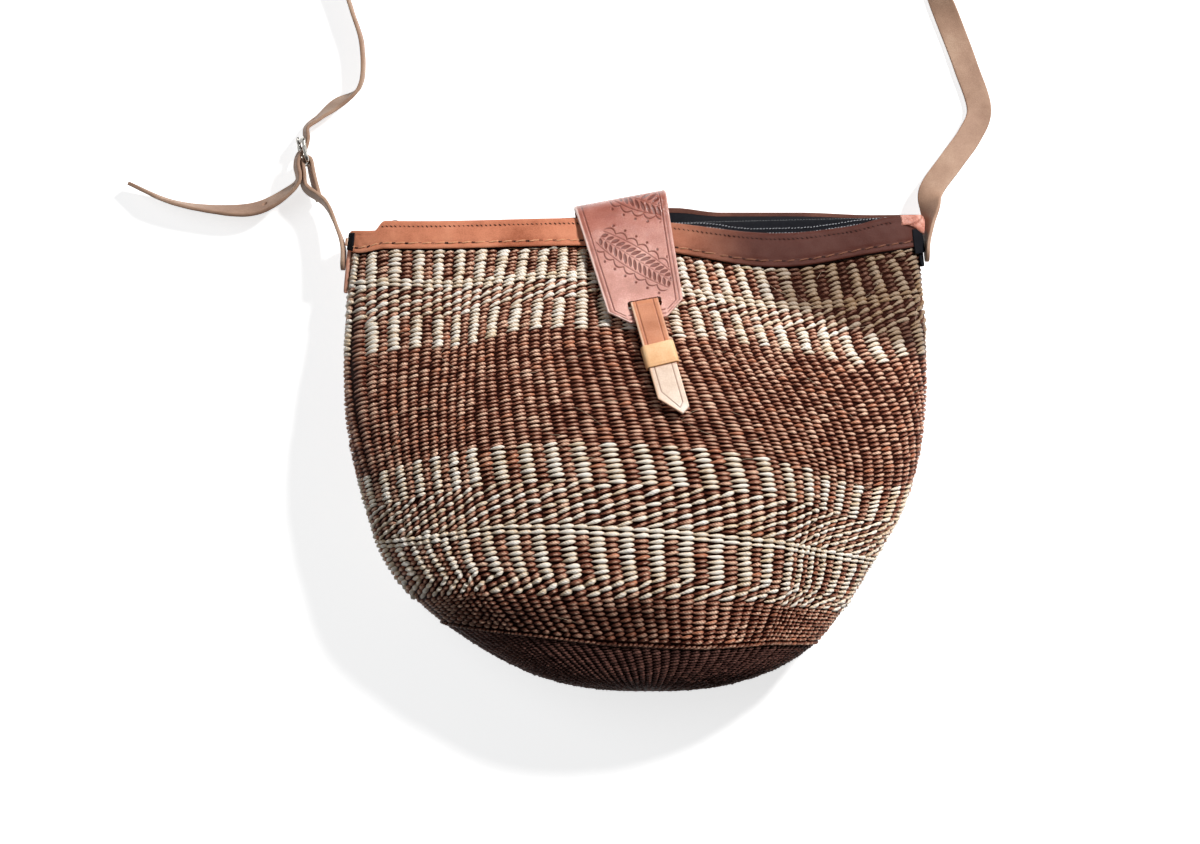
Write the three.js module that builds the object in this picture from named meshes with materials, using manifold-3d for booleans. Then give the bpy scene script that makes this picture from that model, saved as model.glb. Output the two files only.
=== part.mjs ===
// Woven bucket bag, lying on its back: a twined basket with a leather rim, a zip, a flap with a closure
// strap, and a shoulder strap with a buckle. Millimetres. +X is to the right, +Y towards the mouth and
// +Z up, out of the surface that the bag lies on. The origin is the middle of the bag's flat back.

import * as THREE from 'three';
import { mergeVertices } from 'three/addons/utils/BufferGeometryUtils.js';
import Module from 'manifold-3d';

const wasm = await Module();
wasm.setup();

// Driving dimensions of the basket
const bellyWidth = 350;
const bellyDepth = 90;
const bellyY = 40;
const deepestY = -20;
const mouthWidth = 338;
const mouthDepth = 31;
const mouthY = 130;
const apexY = -151;
const wall = 4;
const mouthLift = 9;
const liftStartY = 60;
const domeLift = 34;
const domeStartY = -95;
const pullLeft = 3.8;
const pullLeftY = -74;
const pullRight = 7.5;
const ridgeY = -121;
const ridgeHeight = 1.6;
const ridgeSpread = 2.5;
const baseTop = -60;

// Driving dimensions of the rim and the zip
const leather = 2;
const seatGap = 0.3;
const curvedGap = 0.45;
const rimBandHeight = 17;
const rimAboveWeave = 9;
const backRimRise = 6.5;
const frontSag = 9.3;
const frontSagLow = 13.5;
const frontSagX = 85;
const frontSagSpread = 60;
const frontDent = 5;
const frontDentX = 122;
const frontDentY = 98;
const cornerTabWidth = 11;
const tapeThickness = 0.7;
const tapeDrop = 2.5;
const zipCornerGap = 19;
const zipLength = mouthWidth - 2 * zipCornerGap;
const zipLeftY = 125.5;
const zipRightY = 132.5;
const toothPitch = 2.8;
const toothWidth = 1;
const toothLength = 2;
const coilSpine = 1.8;
const coilHeight = 2.2;
const stopLength = 3;
const sliderLength = 10;
const sliderWall = 1.2;
const bailInner = 3;
const bailWire = 1.2;
const bailWidth = 2;
const pullLength = 20;
const pullWidth = 7;
const pullThickness = 1.4;

// Driving dimensions of the flap and its closure
const flapTurn = 10.5;
const flapX = -9.6;
const foldY = 145;
const foldZ = 22;
const flapTopWidth = 56;
const flapLowWidth = 45;
const flapEndWidth = 22;
const flapShoulder = 68.5;
const flapLength = 77;
const flapDrift = 0.037;
const flapStandoff = 2;
const flapEndRise = 1.2;
const flapTilt = -0.11;
const tailReach = 33;
const slotDistance = 67;
const slotLength = 5.5;
const slotWidth = 20;
const closureWidth = 16.5;
const closureThickness = 1.8;
const closureBend = 3.1;
const closureDrift = 0.09;
const tongueEnd = -134.5;
const underEnd = -114;
const tongueCut = 11;
const tongueShortCut = 3.5;
const keeperTop = -92;
const keeperLength = 14;
const keeperWall = 1.2;

// Driving dimensions of the shoulder strap and its buckle
const strapWidth = 15;
const strapThickness = 2.2;
const anchorLength = 27;
const barRadius = 1.2;
const frameLength = 14;
const frameWidth = 20;
const prongRadius = 1;
const returnLength = 24;
const prongHole = 9;
const buckleAway = 24.8;
const buckleOut = 58.5;
const adjustHole = 3.4;
const adjustPitch = 22;

const degree = Math.PI / 180;
const { lerp, smoothstep, clamp } = THREE.MathUtils;
const vector = (x, y, z) => new THREE.Vector3(x, y, z);
const steps = (count, from, to) => Array.from({ length: count + 1 }, (_, i) => lerp(from, to, i / count));

// Materials
const finish = (color, roughness, metalness = 0) => new THREE.MeshStandardMaterial({ color, roughness, metalness });
const sisal = finish(0x6a4028, 0.9);
const rimLeather = finish(0xb96c4c, 0.5);
const flapLeather = finish(0xa0604f, 0.35);
const closureLeather = finish(0xb87450, 0.5);
const keeperLeather = finish(0xe1964f, 0.5);
const strapLeather = finish(0xc79a7c, 0.6);
const zipCloth = finish(0x1d1f22, 0.9);
const zipNylon = finish(0x2a2d31, 0.4);
const nickel = finish(0xc9c6bf, 0.25, 1);

const bag = new THREE.Group();

function add(name, geometry, material, parent = bag) {
  const mesh = new THREE.Mesh(geometry, material);
  mesh.name = name;
  parent.add(mesh);
  return mesh;
}

// Solids from rings

// One closed body with its faces pointing out
function outward(positions, triangles) {
  let volume = 0;
  for (let i = 0; i < triangles.length; i += 3) {
    const [a, b, c] = [0, 1, 2].map((k) => positions[triangles[i + k]]);
    volume += a.dot(b.clone().cross(c));
  }
  if (volume < 0) triangles.reverse();
  const geometry = new THREE.BufferGeometry();
  geometry.setFromPoints(positions);
  geometry.setIndex(triangles);
  return geometry;
}

// A solid through rings of as many points each: capped at both ends, or closed on itself
function loft(rings, closed = false) {
  const n = rings[0].length;
  const positions = rings.flat();
  const triangles = [];
  const last = closed ? rings.length : rings.length - 1;
  for (let i = 0; i < last; i++) {
    const [here, next] = [i * n, ((i + 1) % rings.length) * n];
    for (let j = 0; j < n; j++) {
      const k = (j + 1) % n;
      triangles.push(here + j, here + k, next + k, here + j, next + k, next + j);
    }
  }
  if (closed) return outward(positions, triangles);
  for (const [ring, start, flip] of [[rings[0], 0, true], [rings.at(-1), (rings.length - 1) * n, false]]) {
    const middle = positions.length;
    positions.push(ring.reduce((sum, p) => sum.add(p), vector(0, 0, 0)).divideScalar(n));
    for (let j = 0; j < n; j++) {
      const k = (j + 1) % n;
      triangles.push(...(flip ? [middle, start + k, start + j] : [middle, start + j, start + k]));
    }
  }
  return outward(positions, triangles);
}

function toManifold(geometry) {
  const plain = geometry.clone();
  plain.deleteAttribute('normal');
  plain.deleteAttribute('uv');
  const merged = mergeVertices(plain, 1e-4);
  const vertProperties = new Float32Array(merged.attributes.position.array);
  const triVerts = new Uint32Array(merged.index.array);
  return new wasm.Manifold(new wasm.Mesh({ numProp: 3, vertProperties, triVerts }));
}

function fromManifold(solid) {
  const mesh = solid.getMesh();
  const geometry = new THREE.BufferGeometry();
  geometry.setAttribute('position', new THREE.BufferAttribute(new Float32Array(mesh.vertProperties), 3));
  geometry.setIndex(new THREE.BufferAttribute(new Uint32Array(mesh.triVerts), 1));
  return geometry;
}

function join(...geometries) {
  return fromManifold(geometries.map(toManifold).reduce((whole, piece) => whole.add(piece)));
}

function cut(geometry, ...tools) {
  return fromManifold(tools.reduce((solid, tool) => solid.subtract(toManifold(tool)), toManifold(geometry)));
}

// The basket's surface

// A level is a distance along Y before the rim's waves. Below the belly the sides close towards the apex.
const fall = (level) => clamp((bellyY - level) / (bellyY - apexY), 0, 1);
const rise = (level) => clamp((level - bellyY) / (mouthY - bellyY), 0, 2);

function halfWidth(level) {
  if (level > bellyY) return (bellyWidth - (bellyWidth - mouthWidth) * rise(level) ** 2) / 2;
  return (bellyWidth / 2) * (1 - fall(level) ** 2) ** 0.415;
}

function depth(level) {
  if (level < deepestY) {
    const low = (deepestY - level) / (deepestY - apexY);
    return bellyDepth * (1 - Math.min(low, 1) ** 3.4) ** 0.45;
  }
  const down = (mouthY - level) / (mouthY - deepestY);
  return mouthDepth + (bellyDepth - mouthDepth) * Math.sin((down * Math.PI) / 2);
}

function lift(level) {
  const mouth = mouthLift * Math.max((level - liftStartY) / (mouthY - liftStartY), 0) ** 1.5;
  const dome = domeLift * Math.max((domeStartY - level) / (domeStartY - apexY), 0) ** 2.5;
  return mouth + dome;
}

// How far the cup hangs to the right: it pulls a little to the left below the belly, then to the right
function sway(level) {
  const left = pullLeft * Math.exp(-(((level - pullLeftY) / 24) ** 2));
  return pullRight * smoothstep(-level, 95, 138) - left;
}

// How far the rows run up or down from their level: the front sags to the right of the flap
function wave(x, front, level) {
  const down = smoothstep(mouthY - level, 0, rimBandHeight);
  const sag = lerp(frontSag, frontSagLow, down) * Math.exp(-(((x - frontSagX) / frontSagSpread) ** 2));
  const halfMouth = mouthWidth / 2;
  const leftDrop = 5 * smoothstep(-x, halfMouth - 20, halfMouth);
  const rightRise = (3 - 3.5 * down) * smoothstep(x, halfMouth - 40, halfMouth - 15);
  return lerp(backRimRise, 2.3 - sag - leftDrop + rightRise, front) * smoothstep(level, -40, mouthY);
}

// A point of the surface, grown outwards by a distance: angle 0 is the right side and a quarter turn the front
function surface(angle, level, grow = 0) {
  const [cos, sin] = [Math.cos(angle), Math.sin(angle)];
  const base = lift(level) - grow;
  const height = depth(level) + 2 * grow;
  const middle = 0.42 * height;
  let x = (halfWidth(level) + grow) * cos;
  let z = base + middle + (height - middle) * Math.max(sin, 0) ** 0.9;
  if (sin < 0) {
    x = (halfWidth(level) + grow) * Math.sign(cos) * Math.abs(cos) ** 0.55;
    z = base + Math.max(middle * (1 - 1.12 * Math.abs(sin) ** 0.55), 0);
  }
  const front = smoothstep(z, base, base + height);
  const dent = frontDent * Math.exp(-(((x - frontDentX) / 38) ** 2) - ((level - frontDentY) / 22) ** 2);
  return vector(x + sway(level), level + wave(x, front, level), z - dent * front);
}

// The surface's angle at a distance across the bag, on its front or its back
function angleAt(x, level, side, grow = 0) {
  const share = clamp(x / (halfWidth(level) + grow), -1, 1);
  if (side > 0) return Math.acos(share);
  return 2 * Math.PI - Math.acos(Math.sign(share) * Math.abs(share) ** (1 / 0.55));
}

// Height of the front surface over a point of the plan
function frontHeight(x, y) {
  let level = y;
  for (let i = 0; i < 8; i++) level = y - wave(x, 1, level);
  return surface(angleAt(x, level, 1), level).z;
}

// A slab of even thickness on the surface, between two distances from it
function onSurface(angles, levels, inner, outer) {
  return loft(angles.map((angle) => [
    ...levels.map((level) => surface(angle, level, inner)),
    ...levels.toReversed().map((level) => surface(angle, level, outer)),
  ]));
}

// Woven basket: a double-walled cup in two pieces, a base up to a level and a body above it
const rimLevel = mouthY - rimAboveWeave;
const bandBottom = mouthY - rimBandHeight;

// The basket's outside and inside, as one ring for each level
function wovenWalls(levels) {
  const angles = steps(60, 0, 2 * Math.PI).slice(0, -1);
  const bead = (level) => ridgeHeight * Math.exp(-(((level - ridgeY) / ridgeSpread) ** 2));
  const outer = levels.map((level) => angles.map((angle) => surface(angle, level, bead(level))));
  const inner = levels.map((level) => {
    const thick = wall * Math.min(1, halfWidth(level) / 40, depth(level) / 26);
    const up = vector(0, wall * fall(level) ** 6, 0);
    return angles.map((angle) => surface(angle, level, -thick).add(up));
  });
  return [...outer, ...inner.toReversed()];
}

// From the apex out to the body, and back down inside
function wovenBase() {
  const ridgeReach = 1.8 * ridgeSpread;
  const dome = steps(5, 0, 1).map((s) => lerp(apexY + 0.4, ridgeY - ridgeReach - 3, s ** 2));
  const ridge = steps(4, ridgeY - ridgeReach, ridgeY + ridgeReach);
  const side = steps(3, ridgeY + ridgeReach + 4, baseTop - seatGap / 2);
  return loft(wovenWalls([...dome, ...ridge, ...side]));
}

// From the base up to the rim, over it, and back down inside
function wovenBody() {
  const side = steps(7, baseTop + seatGap / 2, bandBottom - rimBandHeight);
  const rim = steps(4, bandBottom - rimBandHeight, rimLevel).slice(1);
  return loft(wovenWalls([...side, ...rim]), true);
}

add('woven_base', wovenBase(), sisal);
add('woven_body', wovenBody(), sisal);

// Rim bands: a front and a back half, end to end at the corners
const bandInner = curvedGap;
const bandOuter = bandInner + leather;

function rimBand(start) {
  const cornerGap = 0.35 * degree;
  const angles = steps(44, start + cornerGap, start + Math.PI - cornerGap);
  return onSurface(angles, steps(2, bandBottom, mouthY), bandInner, bandOuter);
}

add('rim_band_front', rimBand(0), rimLeather);
add('rim_band_back', rimBand(Math.PI), rimLeather);

// Corner tabs: folded over the two ends of the mouth, outside the bands
function cornerTab(middle) {
  const angles = steps(10, middle - 24 * degree, middle + 24 * degree);
  const inner = bandOuter + curvedGap;
  return onSurface(angles, [mouthY - cornerTabWidth, mouthY], inner, inner + leather);
}

add('corner_tab_right', cornerTab(0), rimLeather);
add('corner_tab_left', cornerTab(Math.PI), rimLeather);

// Strap anchors: sewn along the sides of the bag, below the bands
const anchorTop = bandBottom - seatGap;
const anchorOuter = curvedGap + strapThickness;

// The angle at which the surface lies a height above or below its side
function angleForHeight(middle, height) {
  const turn = Math.sign(height) * (middle === 0 ? 1 : -1);
  const reached = (angle) => Math.abs(surface(middle + turn * angle, anchorTop).z - surface(middle, anchorTop).z);
  return middle + turn * steps(600, 0, Math.PI / 3).find((angle) => reached(angle) > Math.abs(height));
}

function strapAnchor(middle) {
  const angles = steps(6, angleForHeight(middle, -strapWidth / 2), angleForHeight(middle, strapWidth / 2));
  return onSurface(angles, steps(5, anchorTop - anchorLength, anchorTop), curvedGap, anchorOuter);
}

add('strap_anchor_right', strapAnchor(0), strapLeather);
add('strap_anchor_left', strapAnchor(Math.PI), strapLeather);

// Zip: a straight chain between two tapes. Its own frame has X along the chain, Y out of the mouth and
// Z across the chain.
const zipMiddleY = (zipLeftY + zipRightY) / 2;
const zipSlope = (zipRightY - zipLeftY) / zipLength;
const zipZ = lift(mouthY) + mouthDepth / 2;
const coilReach = toothLength / 2 + seatGap + coilSpine;
const zip = new THREE.Group();
zip.position.set(0, zipMiddleY, zipZ);
zip.rotation.z = Math.atan(zipSlope);
bag.add(zip);

// One coil as a comb: a spine with teeth that stand between those of the other coil
function zipCoil(side) {
  const half = zipLength / 2;
  const count = Math.floor(zipLength / toothPitch) - 2;
  const start = -(count * toothPitch) / 2 + (side > 0 ? toothPitch / 2 : 0);
  const spineIn = (toothLength / 2 + seatGap) * side;
  const spineOut = coilReach * side;
  const tip = spineIn - toothLength * side;
  const comb = new THREE.Shape();
  comb.moveTo(-half, spineOut);
  comb.lineTo(-half, spineIn);
  for (let i = 0; i < count; i++) {
    const x = start + i * toothPitch;
    comb.lineTo(x - toothWidth / 2, spineIn);
    comb.lineTo(x - toothWidth / 3, tip);
    comb.lineTo(x + toothWidth / 3, tip);
    comb.lineTo(x + toothWidth / 2, spineIn);
  }
  comb.lineTo(half, spineIn);
  comb.lineTo(half, spineOut);
  const geometry = new THREE.ExtrudeGeometry(comb, { depth: coilHeight, bevelEnabled: false });
  geometry.translate(0, 0, -coilHeight / 2);
  return geometry.rotateX(Math.PI / 2);
}

add('zip_coil_front', zipCoil(1), zipNylon, zip);
add('zip_coil_back', zipCoil(-1), zipNylon, zip);

// One tape: from inside the top edge of its band, over the weave's rim, to a flat strip beside its coil
const sliderReach = coilReach + seatGap + 0.2 + sliderWall;
const tapeHalfLength = zipLength / 2 + stopLength + 3;

function zipTape(side) {
  const level = mouthY - tapeDrop;
  return loft(steps(36, -tapeHalfLength, tapeHalfLength).map((x) => {
    const edge = surface(angleAt(x, level, side), level, -seatGap);
    const chainY = zipMiddleY + edge.x * zipSlope;
    const shelfReach = Math.min(sliderReach + 0.8, Math.abs(edge.z - zipZ) - 0.5);
    const shelf = vector(edge.x, chainY, zipZ + side * shelfReach);
    const overWall = vector(edge.x, lerp(edge.y, chainY, 0.25), lerp(edge.z, shelf.z, 0.33));
    const inside = vector(edge.x, chainY, zipZ + side * (coilReach + seatGap));
    const up = vector(0, tapeThickness / 2, 0);
    const line = [edge, overWall, shelf, inside];
    return [...line.map((p) => p.clone().add(up)), ...line.toReversed().map((p) => p.clone().sub(up))];
  }));
}

add('zip_tape_front', zipTape(1), zipCloth);
add('zip_tape_back', zipTape(-1), zipCloth);

// End stops, one past each end of the chain
for (const [name, sign] of [['zip_stop_left', -1], ['zip_stop_right', 1]]) {
  const stop = add(name, new THREE.BoxGeometry(stopLength, coilHeight, 2 * coilReach), nickel, zip);
  stop.position.x = sign * (zipLength / 2 + stopLength / 2 + seatGap);
}

// Slider: a plate over the chain, with a flange down each side and a bail on top
const plateUnder = coilHeight / 2 + seatGap;
const plateTop = plateUnder + sliderWall;

function zipSlider() {
  const flangeEnd = tapeThickness / 2 + seatGap;
  const inside = sliderReach - sliderWall;
  const section = new THREE.Shape();
  section.moveTo(-sliderReach, flangeEnd);
  section.lineTo(-sliderReach, plateTop);
  section.lineTo(sliderReach, plateTop);
  section.lineTo(sliderReach, flangeEnd);
  section.lineTo(inside, flangeEnd);
  section.lineTo(inside, plateUnder);
  section.lineTo(-inside, plateUnder);
  section.lineTo(-inside, flangeEnd);
  const plate = new THREE.ExtrudeGeometry(section, { depth: sliderLength, bevelEnabled: false });
  plate.translate(0, 0, -sliderLength / 2).rotateY(Math.PI / 2);
  const arch = new THREE.Shape();
  arch.absarc(0, 0, bailInner + bailWire, 0, Math.PI);
  arch.absarc(0, 0, bailInner, Math.PI, 0, true);
  const bail = new THREE.ExtrudeGeometry(arch, { depth: bailWidth, curveSegments: 12, bevelEnabled: false });
  bail.translate(0, plateTop - bailWire / 4, -bailWidth / 2);
  return join(plate, bail);
}

const slider = add('zip_slider', zipSlider(), nickel, zip);
slider.position.x = (sliderLength - zipLength) / 2;

// Pull: a plate with an eye, whose bar lies under the bail
function zipPull() {
  const bar = pullThickness * 0.55;
  const half = pullWidth / 2;
  const plate = new THREE.Shape();
  plate.moveTo(-bar, -half * 0.75);
  plate.lineTo(pullLength - half, -half);
  plate.absarc(pullLength - half, 0, half, -Math.PI / 2, Math.PI / 2);
  plate.lineTo(-bar, half * 0.75);
  const eye = new THREE.Path();
  const eyeHalf = bailWidth / 2 + seatGap;
  const eyeEnd = bailInner + bailWire + 1;
  eye.moveTo(bar, -eyeHalf);
  eye.lineTo(bar, eyeHalf);
  eye.lineTo(eyeEnd, eyeHalf);
  eye.lineTo(eyeEnd, -eyeHalf);
  plate.holes.push(eye);
  const geometry = new THREE.ExtrudeGeometry(plate, { depth: pullThickness, curveSegments: 8, bevelEnabled: false });
  geometry.translate(0, 0, -pullThickness / 2);
  return geometry.rotateX(Math.PI / 2);
}

const pull = add('zip_pull', zipPull(), nickel, slider);
pull.position.y = plateTop + bailInner / 2;

// Flap. Its own frame has X along the crease, Y out past the mouth and Z up; the crease is at Y 0.
const flapFrame = new THREE.Group();
flapFrame.position.set(flapX, foldY, 0);
flapFrame.rotation.z = flapTurn * degree;
bag.add(flapFrame);
flapFrame.updateMatrixWorld();

const heightUnder = (x, y) => {
  const world = vector(x, y, 0).applyMatrix4(flapFrame.matrixWorld);
  return frontHeight(world.x, world.y);
};

// A strip that follows a line of points in Y and Z: centre, half width and tilt can change along it
function strip(line, thickness, centre, half, tilt = () => 0) {
  return loft(line.map((point, i) => {
    const before = line[Math.max(i - 1, 0)];
    const after = line[Math.min(i + 1, line.length - 1)];
    const along = after.clone().sub(before).normalize();
    const out = vector(0, -along.y, along.x).multiplyScalar(thickness / 2);
    const corner = (side, face) => {
      const x = centre(i) + side * half(i);
      return vector(x, point.x + face * out.y, point.y + face * out.z + tilt(i) * (x - centre(i)));
    };
    return [corner(-1, 1), corner(0, 1), corner(1, 1), corner(1, -1), corner(0, -1), corner(-1, -1)];
  }));
}

// Evenly spaced points on a smooth line through points in Y and Z
function smoothLine(points, count) {
  const curve = new THREE.CatmullRomCurve3(points.map(([y, z]) => vector(y, z, 0)), false, 'centripetal');
  return curve.getSpacedPoints(count).map((p) => new THREE.Vector2(p.x, p.y));
}

// Height of the flap's middle over the front: it clears the band and stands off further at its end
const flapCentre = (y) => flapDrift * -y;
const flapHeight = (y) => {
  const standoff = bandOuter + flapStandoff + leather / 2 + flapEndRise * smoothstep(-y, 30, flapLength);
  return heightUnder(flapCentre(y), y) + standoff;
};

function flapHalfWidth(y) {
  if (-y < flapShoulder) return lerp(flapTopWidth, flapLowWidth, clamp(-y / flapShoulder, 0, 1)) / 2;
  return lerp(flapLowWidth, flapEndWidth, clamp((-y - flapShoulder) / (flapLength - flapShoulder), 0, 1)) / 2;
}

const creaseInside = -leather / 2;
const bendDepth = 14;

function flapSolid() {
  const overMouth = steps(9, -bendDepth, -flapLength).map((y) => [y, flapHeight(y)]);
  const top = overMouth[0][1];
  const bend = [[creaseInside, foldZ + seatGap / 2], [creaseInside * 1.4, lerp(foldZ, top, 0.45)], [-4.5, top - 4.5]];
  const line = smoothLine([...bend, ...overMouth], 34);
  const tilt = (i) => flapTilt * smoothstep(-line[i].x, 2, bendDepth + 6);
  const solid = strip(line, leather, (i) => flapCentre(line[i].x), (i) => flapHalfWidth(line[i].x), tilt);
  const slot = new THREE.BoxGeometry(slotWidth, slotLength, 8 * leather);
  slot.translate(flapCentre(-slotDistance), -slotDistance, flapHeight(-slotDistance));
  return cut(solid, slot);
}

add('flap', flapSolid(), flapLeather, flapFrame);

// Flap tail: the same leather behind the crease, down round the mouth's edge and under the back band
function flapTail() {
  const underBand = (y) => {
    const level = foldY + y - backRimRise;
    return lift(Math.max(level, bandBottom)) - bandOuter - curvedGap - leather / 2 - 0.8;
  };
  const under = steps(5, -9, -tailReach).map((y) => [y, underBand(y)]);
  const corner = [[creaseInside, foldZ - seatGap / 2], [creaseInside, 12], [creaseInside - 0.8, 7], [-4.2, underBand(-4) - 1.2]];
  const line = smoothLine([...corner, ...under], 22);
  return strip(line, leather, () => 0, () => flapTopWidth / 2);
}

add('flap_tail', flapTail(), flapLeather, flapFrame);

// Closure strap: one strap folded through the flap's slot, its long layer over the short one
const bendY = slotLength / 2 - slotDistance - seatGap - 0.2 - closureThickness / 2 - closureBend;
const bendZ = flapHeight(bendY);
const layerGap = 0.5;
const closureCentre = (y) => flapCentre(-slotDistance) + closureDrift * Math.max(-slotDistance - y, 0);
const parallelStart = -flapLength - 7;

// The short layer's middle: straight from the flap's end down to the tip, clear of the weave
const lineStartZ = heightUnder(closureCentre(parallelStart), parallelStart) + 4.8;
const lineEndZ = heightUnder(closureCentre(tongueEnd), tongueEnd) + 4;
const closureSlope = (lineEndZ - lineStartZ) / (tongueEnd - parallelStart);
const shortLayer = (y) => lineStartZ + closureSlope * (y - parallelStart);
const longLayer = (y) => shortLayer(y) + closureThickness + layerGap;

function closureStrap() {
  const flapEndZ = flapHeight(-flapLength);
  const clear = leather / 2 + closureThickness / 2 + seatGap + 0.3;
  const bend = steps(8, -90, 90).map((turn) => [
    bendY + closureBend * Math.cos(turn * degree), bendZ + closureBend * Math.sin(turn * degree),
  ]);
  const shortPart = steps(3, underEnd, parallelStart).map((y) => [y, shortLayer(y)]);
  const longPart = steps(5, parallelStart, tongueEnd).map((y) => [y, longLayer(y)]);
  const line = smoothLine([
    ...shortPart, [-flapLength, flapEndZ - clear], ...bend, [-flapLength, flapEndZ + clear], ...longPart,
  ], 60);
  const strap = strip(line, closureThickness, (i) => closureCentre(line[i].x), () => closureWidth / 2, () => flapTilt);
  const cutter = (side, length, across) => {
    const corner = new THREE.Shape();
    const edge = closureCentre(tongueEnd) + (side * closureWidth) / 2;
    corner.moveTo(edge + side, tongueEnd + length + length / across);
    corner.lineTo(edge + side, tongueEnd - 2);
    corner.lineTo(edge - side * (across + (2 * across) / length), tongueEnd - 2);
    const prism = new THREE.ExtrudeGeometry(corner, { depth: 12, bevelEnabled: false });
    return prism.translate(0, 0, longLayer(tongueEnd) - 6);
  };
  return cut(strap, cutter(-1, tongueCut, closureWidth * 0.7), cutter(1, tongueShortCut, closureWidth * 0.3));
}

add('closure_strap', closureStrap(), closureLeather, flapFrame);

// Keeper: a sliding leather band round both layers
function closureKeeper() {
  const innerHalf = closureWidth / 2 + 0.5;
  const innerHeight = 2 * closureThickness + layerGap + 0.8;
  const ring = (half, height) => {
    const shape = new THREE.Shape();
    shape.moveTo(-half, -height / 2);
    shape.lineTo(half, -height / 2);
    shape.lineTo(half, height / 2);
    shape.lineTo(-half, height / 2);
    return shape;
  };
  const shape = ring(innerHalf + keeperWall, innerHeight + 2 * keeperWall);
  shape.holes.push(ring(innerHalf, innerHeight));
  return new THREE.ExtrudeGeometry(shape, { depth: keeperLength, bevelEnabled: false });
}

const keeper = add('closure_keeper', closureKeeper(), keeperLeather, flapFrame);
const keeperMiddle = (y) => (shortLayer(y) + longLayer(y)) / 2;
keeper.position.set(closureCentre(keeperTop), keeperTop, keeperMiddle(keeperTop));
keeper.up.set(-flapTilt, 0, 1);
keeper.lookAt(vector(closureCentre(keeperTop - 10), keeperTop - 10, keeperMiddle(keeperTop - 10))
  .applyMatrix4(flapFrame.matrixWorld));

// Shoulder strap

// The two points that the strap swings about, on the outside of its anchors
const pivotLevel = anchorTop - strapWidth * 0.4;
const strapOut = anchorOuter + seatGap + strapThickness / 2;
const rightPivot = surface(0, pivotLevel, strapOut);
const leftPivot = surface(Math.PI, pivotLevel, strapOut);

// The buckle stands on edge. Its own frame has X up across the strap, Y along it away from the bag and
// Z out to the left; the frame's inner bar is at its origin.
const buckle = new THREE.Group();
const lean = 15;
const acrossStrap = vector(Math.sin(lean * degree), 0, Math.cos(lean * degree));
const alongStrap = vector(-0.17, 0.985, 0);
const outOfStrap = acrossStrap.clone().cross(alongStrap).normalize();
acrossStrap.copy(alongStrap).cross(outOfStrap).normalize();
buckle.position.set(leftPivot.x - buckleAway, leftPivot.y + buckleOut, frameWidth / 2 + 2);
buckle.quaternion.setFromRotationMatrix(new THREE.Matrix4().makeBasis(acrossStrap, alongStrap, outOfStrap));
bag.add(buckle);
buckle.updateMatrixWorld();
const inBuckle = (along, out) => vector(0, along, out).applyMatrix4(buckle.matrixWorld);

// A point of a route beside the buckle: along the strap, out of it, and how far the strap points away from
// the bag there, from 1 for straight out to -1 for straight back
function beside(along, out, away) {
  const { x, y, z } = inBuckle(along, out);
  return [x, y, z, 90 - lean * away];
}

// A point of a route in the open, given in belly widths from the middle of the mouth's edge
const routePoint = (across, out, z, roll) => [across * bellyWidth, mouthY + out * bellyWidth, z, roll];

// A flat strap's middle and directions along a route of [x, y, z, roll]: at roll 0 it lies flat, at 90 on edge
class Ribbon {
  constructor(route) {
    this.segments = route.length - 1;
    this.centre = new THREE.CatmullRomCurve3(route.map(([x, y, z]) => vector(x, y, z)), false, 'centripetal');
    this.roll = new THREE.CatmullRomCurve3(route.map(([x, y, , roll]) => vector(x, y, roll)), false, 'centripetal');
  }

  at(t) {
    const point = this.centre.getPoint(t);
    const along = this.centre.getTangent(t);
    const roll = this.roll.getPoint(t).z * degree;
    const side = vector(along.y, -along.x, 0).normalize();
    const up = side.clone().cross(along);
    const across = side.multiplyScalar(Math.cos(roll)).addScaledVector(up, Math.sin(roll));
    return { point, along, across, out: across.clone().cross(along) };
  }

  // The strap itself, with some extra sections close to its ends
  solid(perSegment, startShape, endShape) {
    const near = [0.02, 0.07, 0.14].map((share) => share / this.segments);
    const places = steps(perSegment * this.segments, 0, 1);
    const extra = [...near, ...near.map((share) => 1 - share)];
    const [start, end] = [this.centre.getPoint(0), this.centre.getPoint(1)];
    return loft([...places, ...extra].sort((a, b) => a - b).map((t) => {
      const { point, across, out } = this.at(t);
      const half = (strapWidth / 2) * Math.min(startShape(point.distanceTo(start)), endShape(point.distanceTo(end)));
      const corners = [[0.92, 1], [1, 0.4], [1, -0.4], [0.92, -1], [-0.92, -1], [-1, -0.4], [-1, 0.4], [-0.92, 1]];
      return corners.map(([wide, thick]) => point.clone().addScaledVector(across, wide * half)
        .addScaledVector(out, (thick * strapThickness) / 2));
    }));
  }
}

const squareEnd = () => 1;
const roundEnd = (distance) => {
  const short = Math.max(1 - distance / (strapWidth / 2), 0);
  return Math.sqrt(1 - (short * 0.98) ** 2);
};
const taperedEnd = (distance) => clamp(0.35 + distance / 30, 0, 1);

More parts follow.
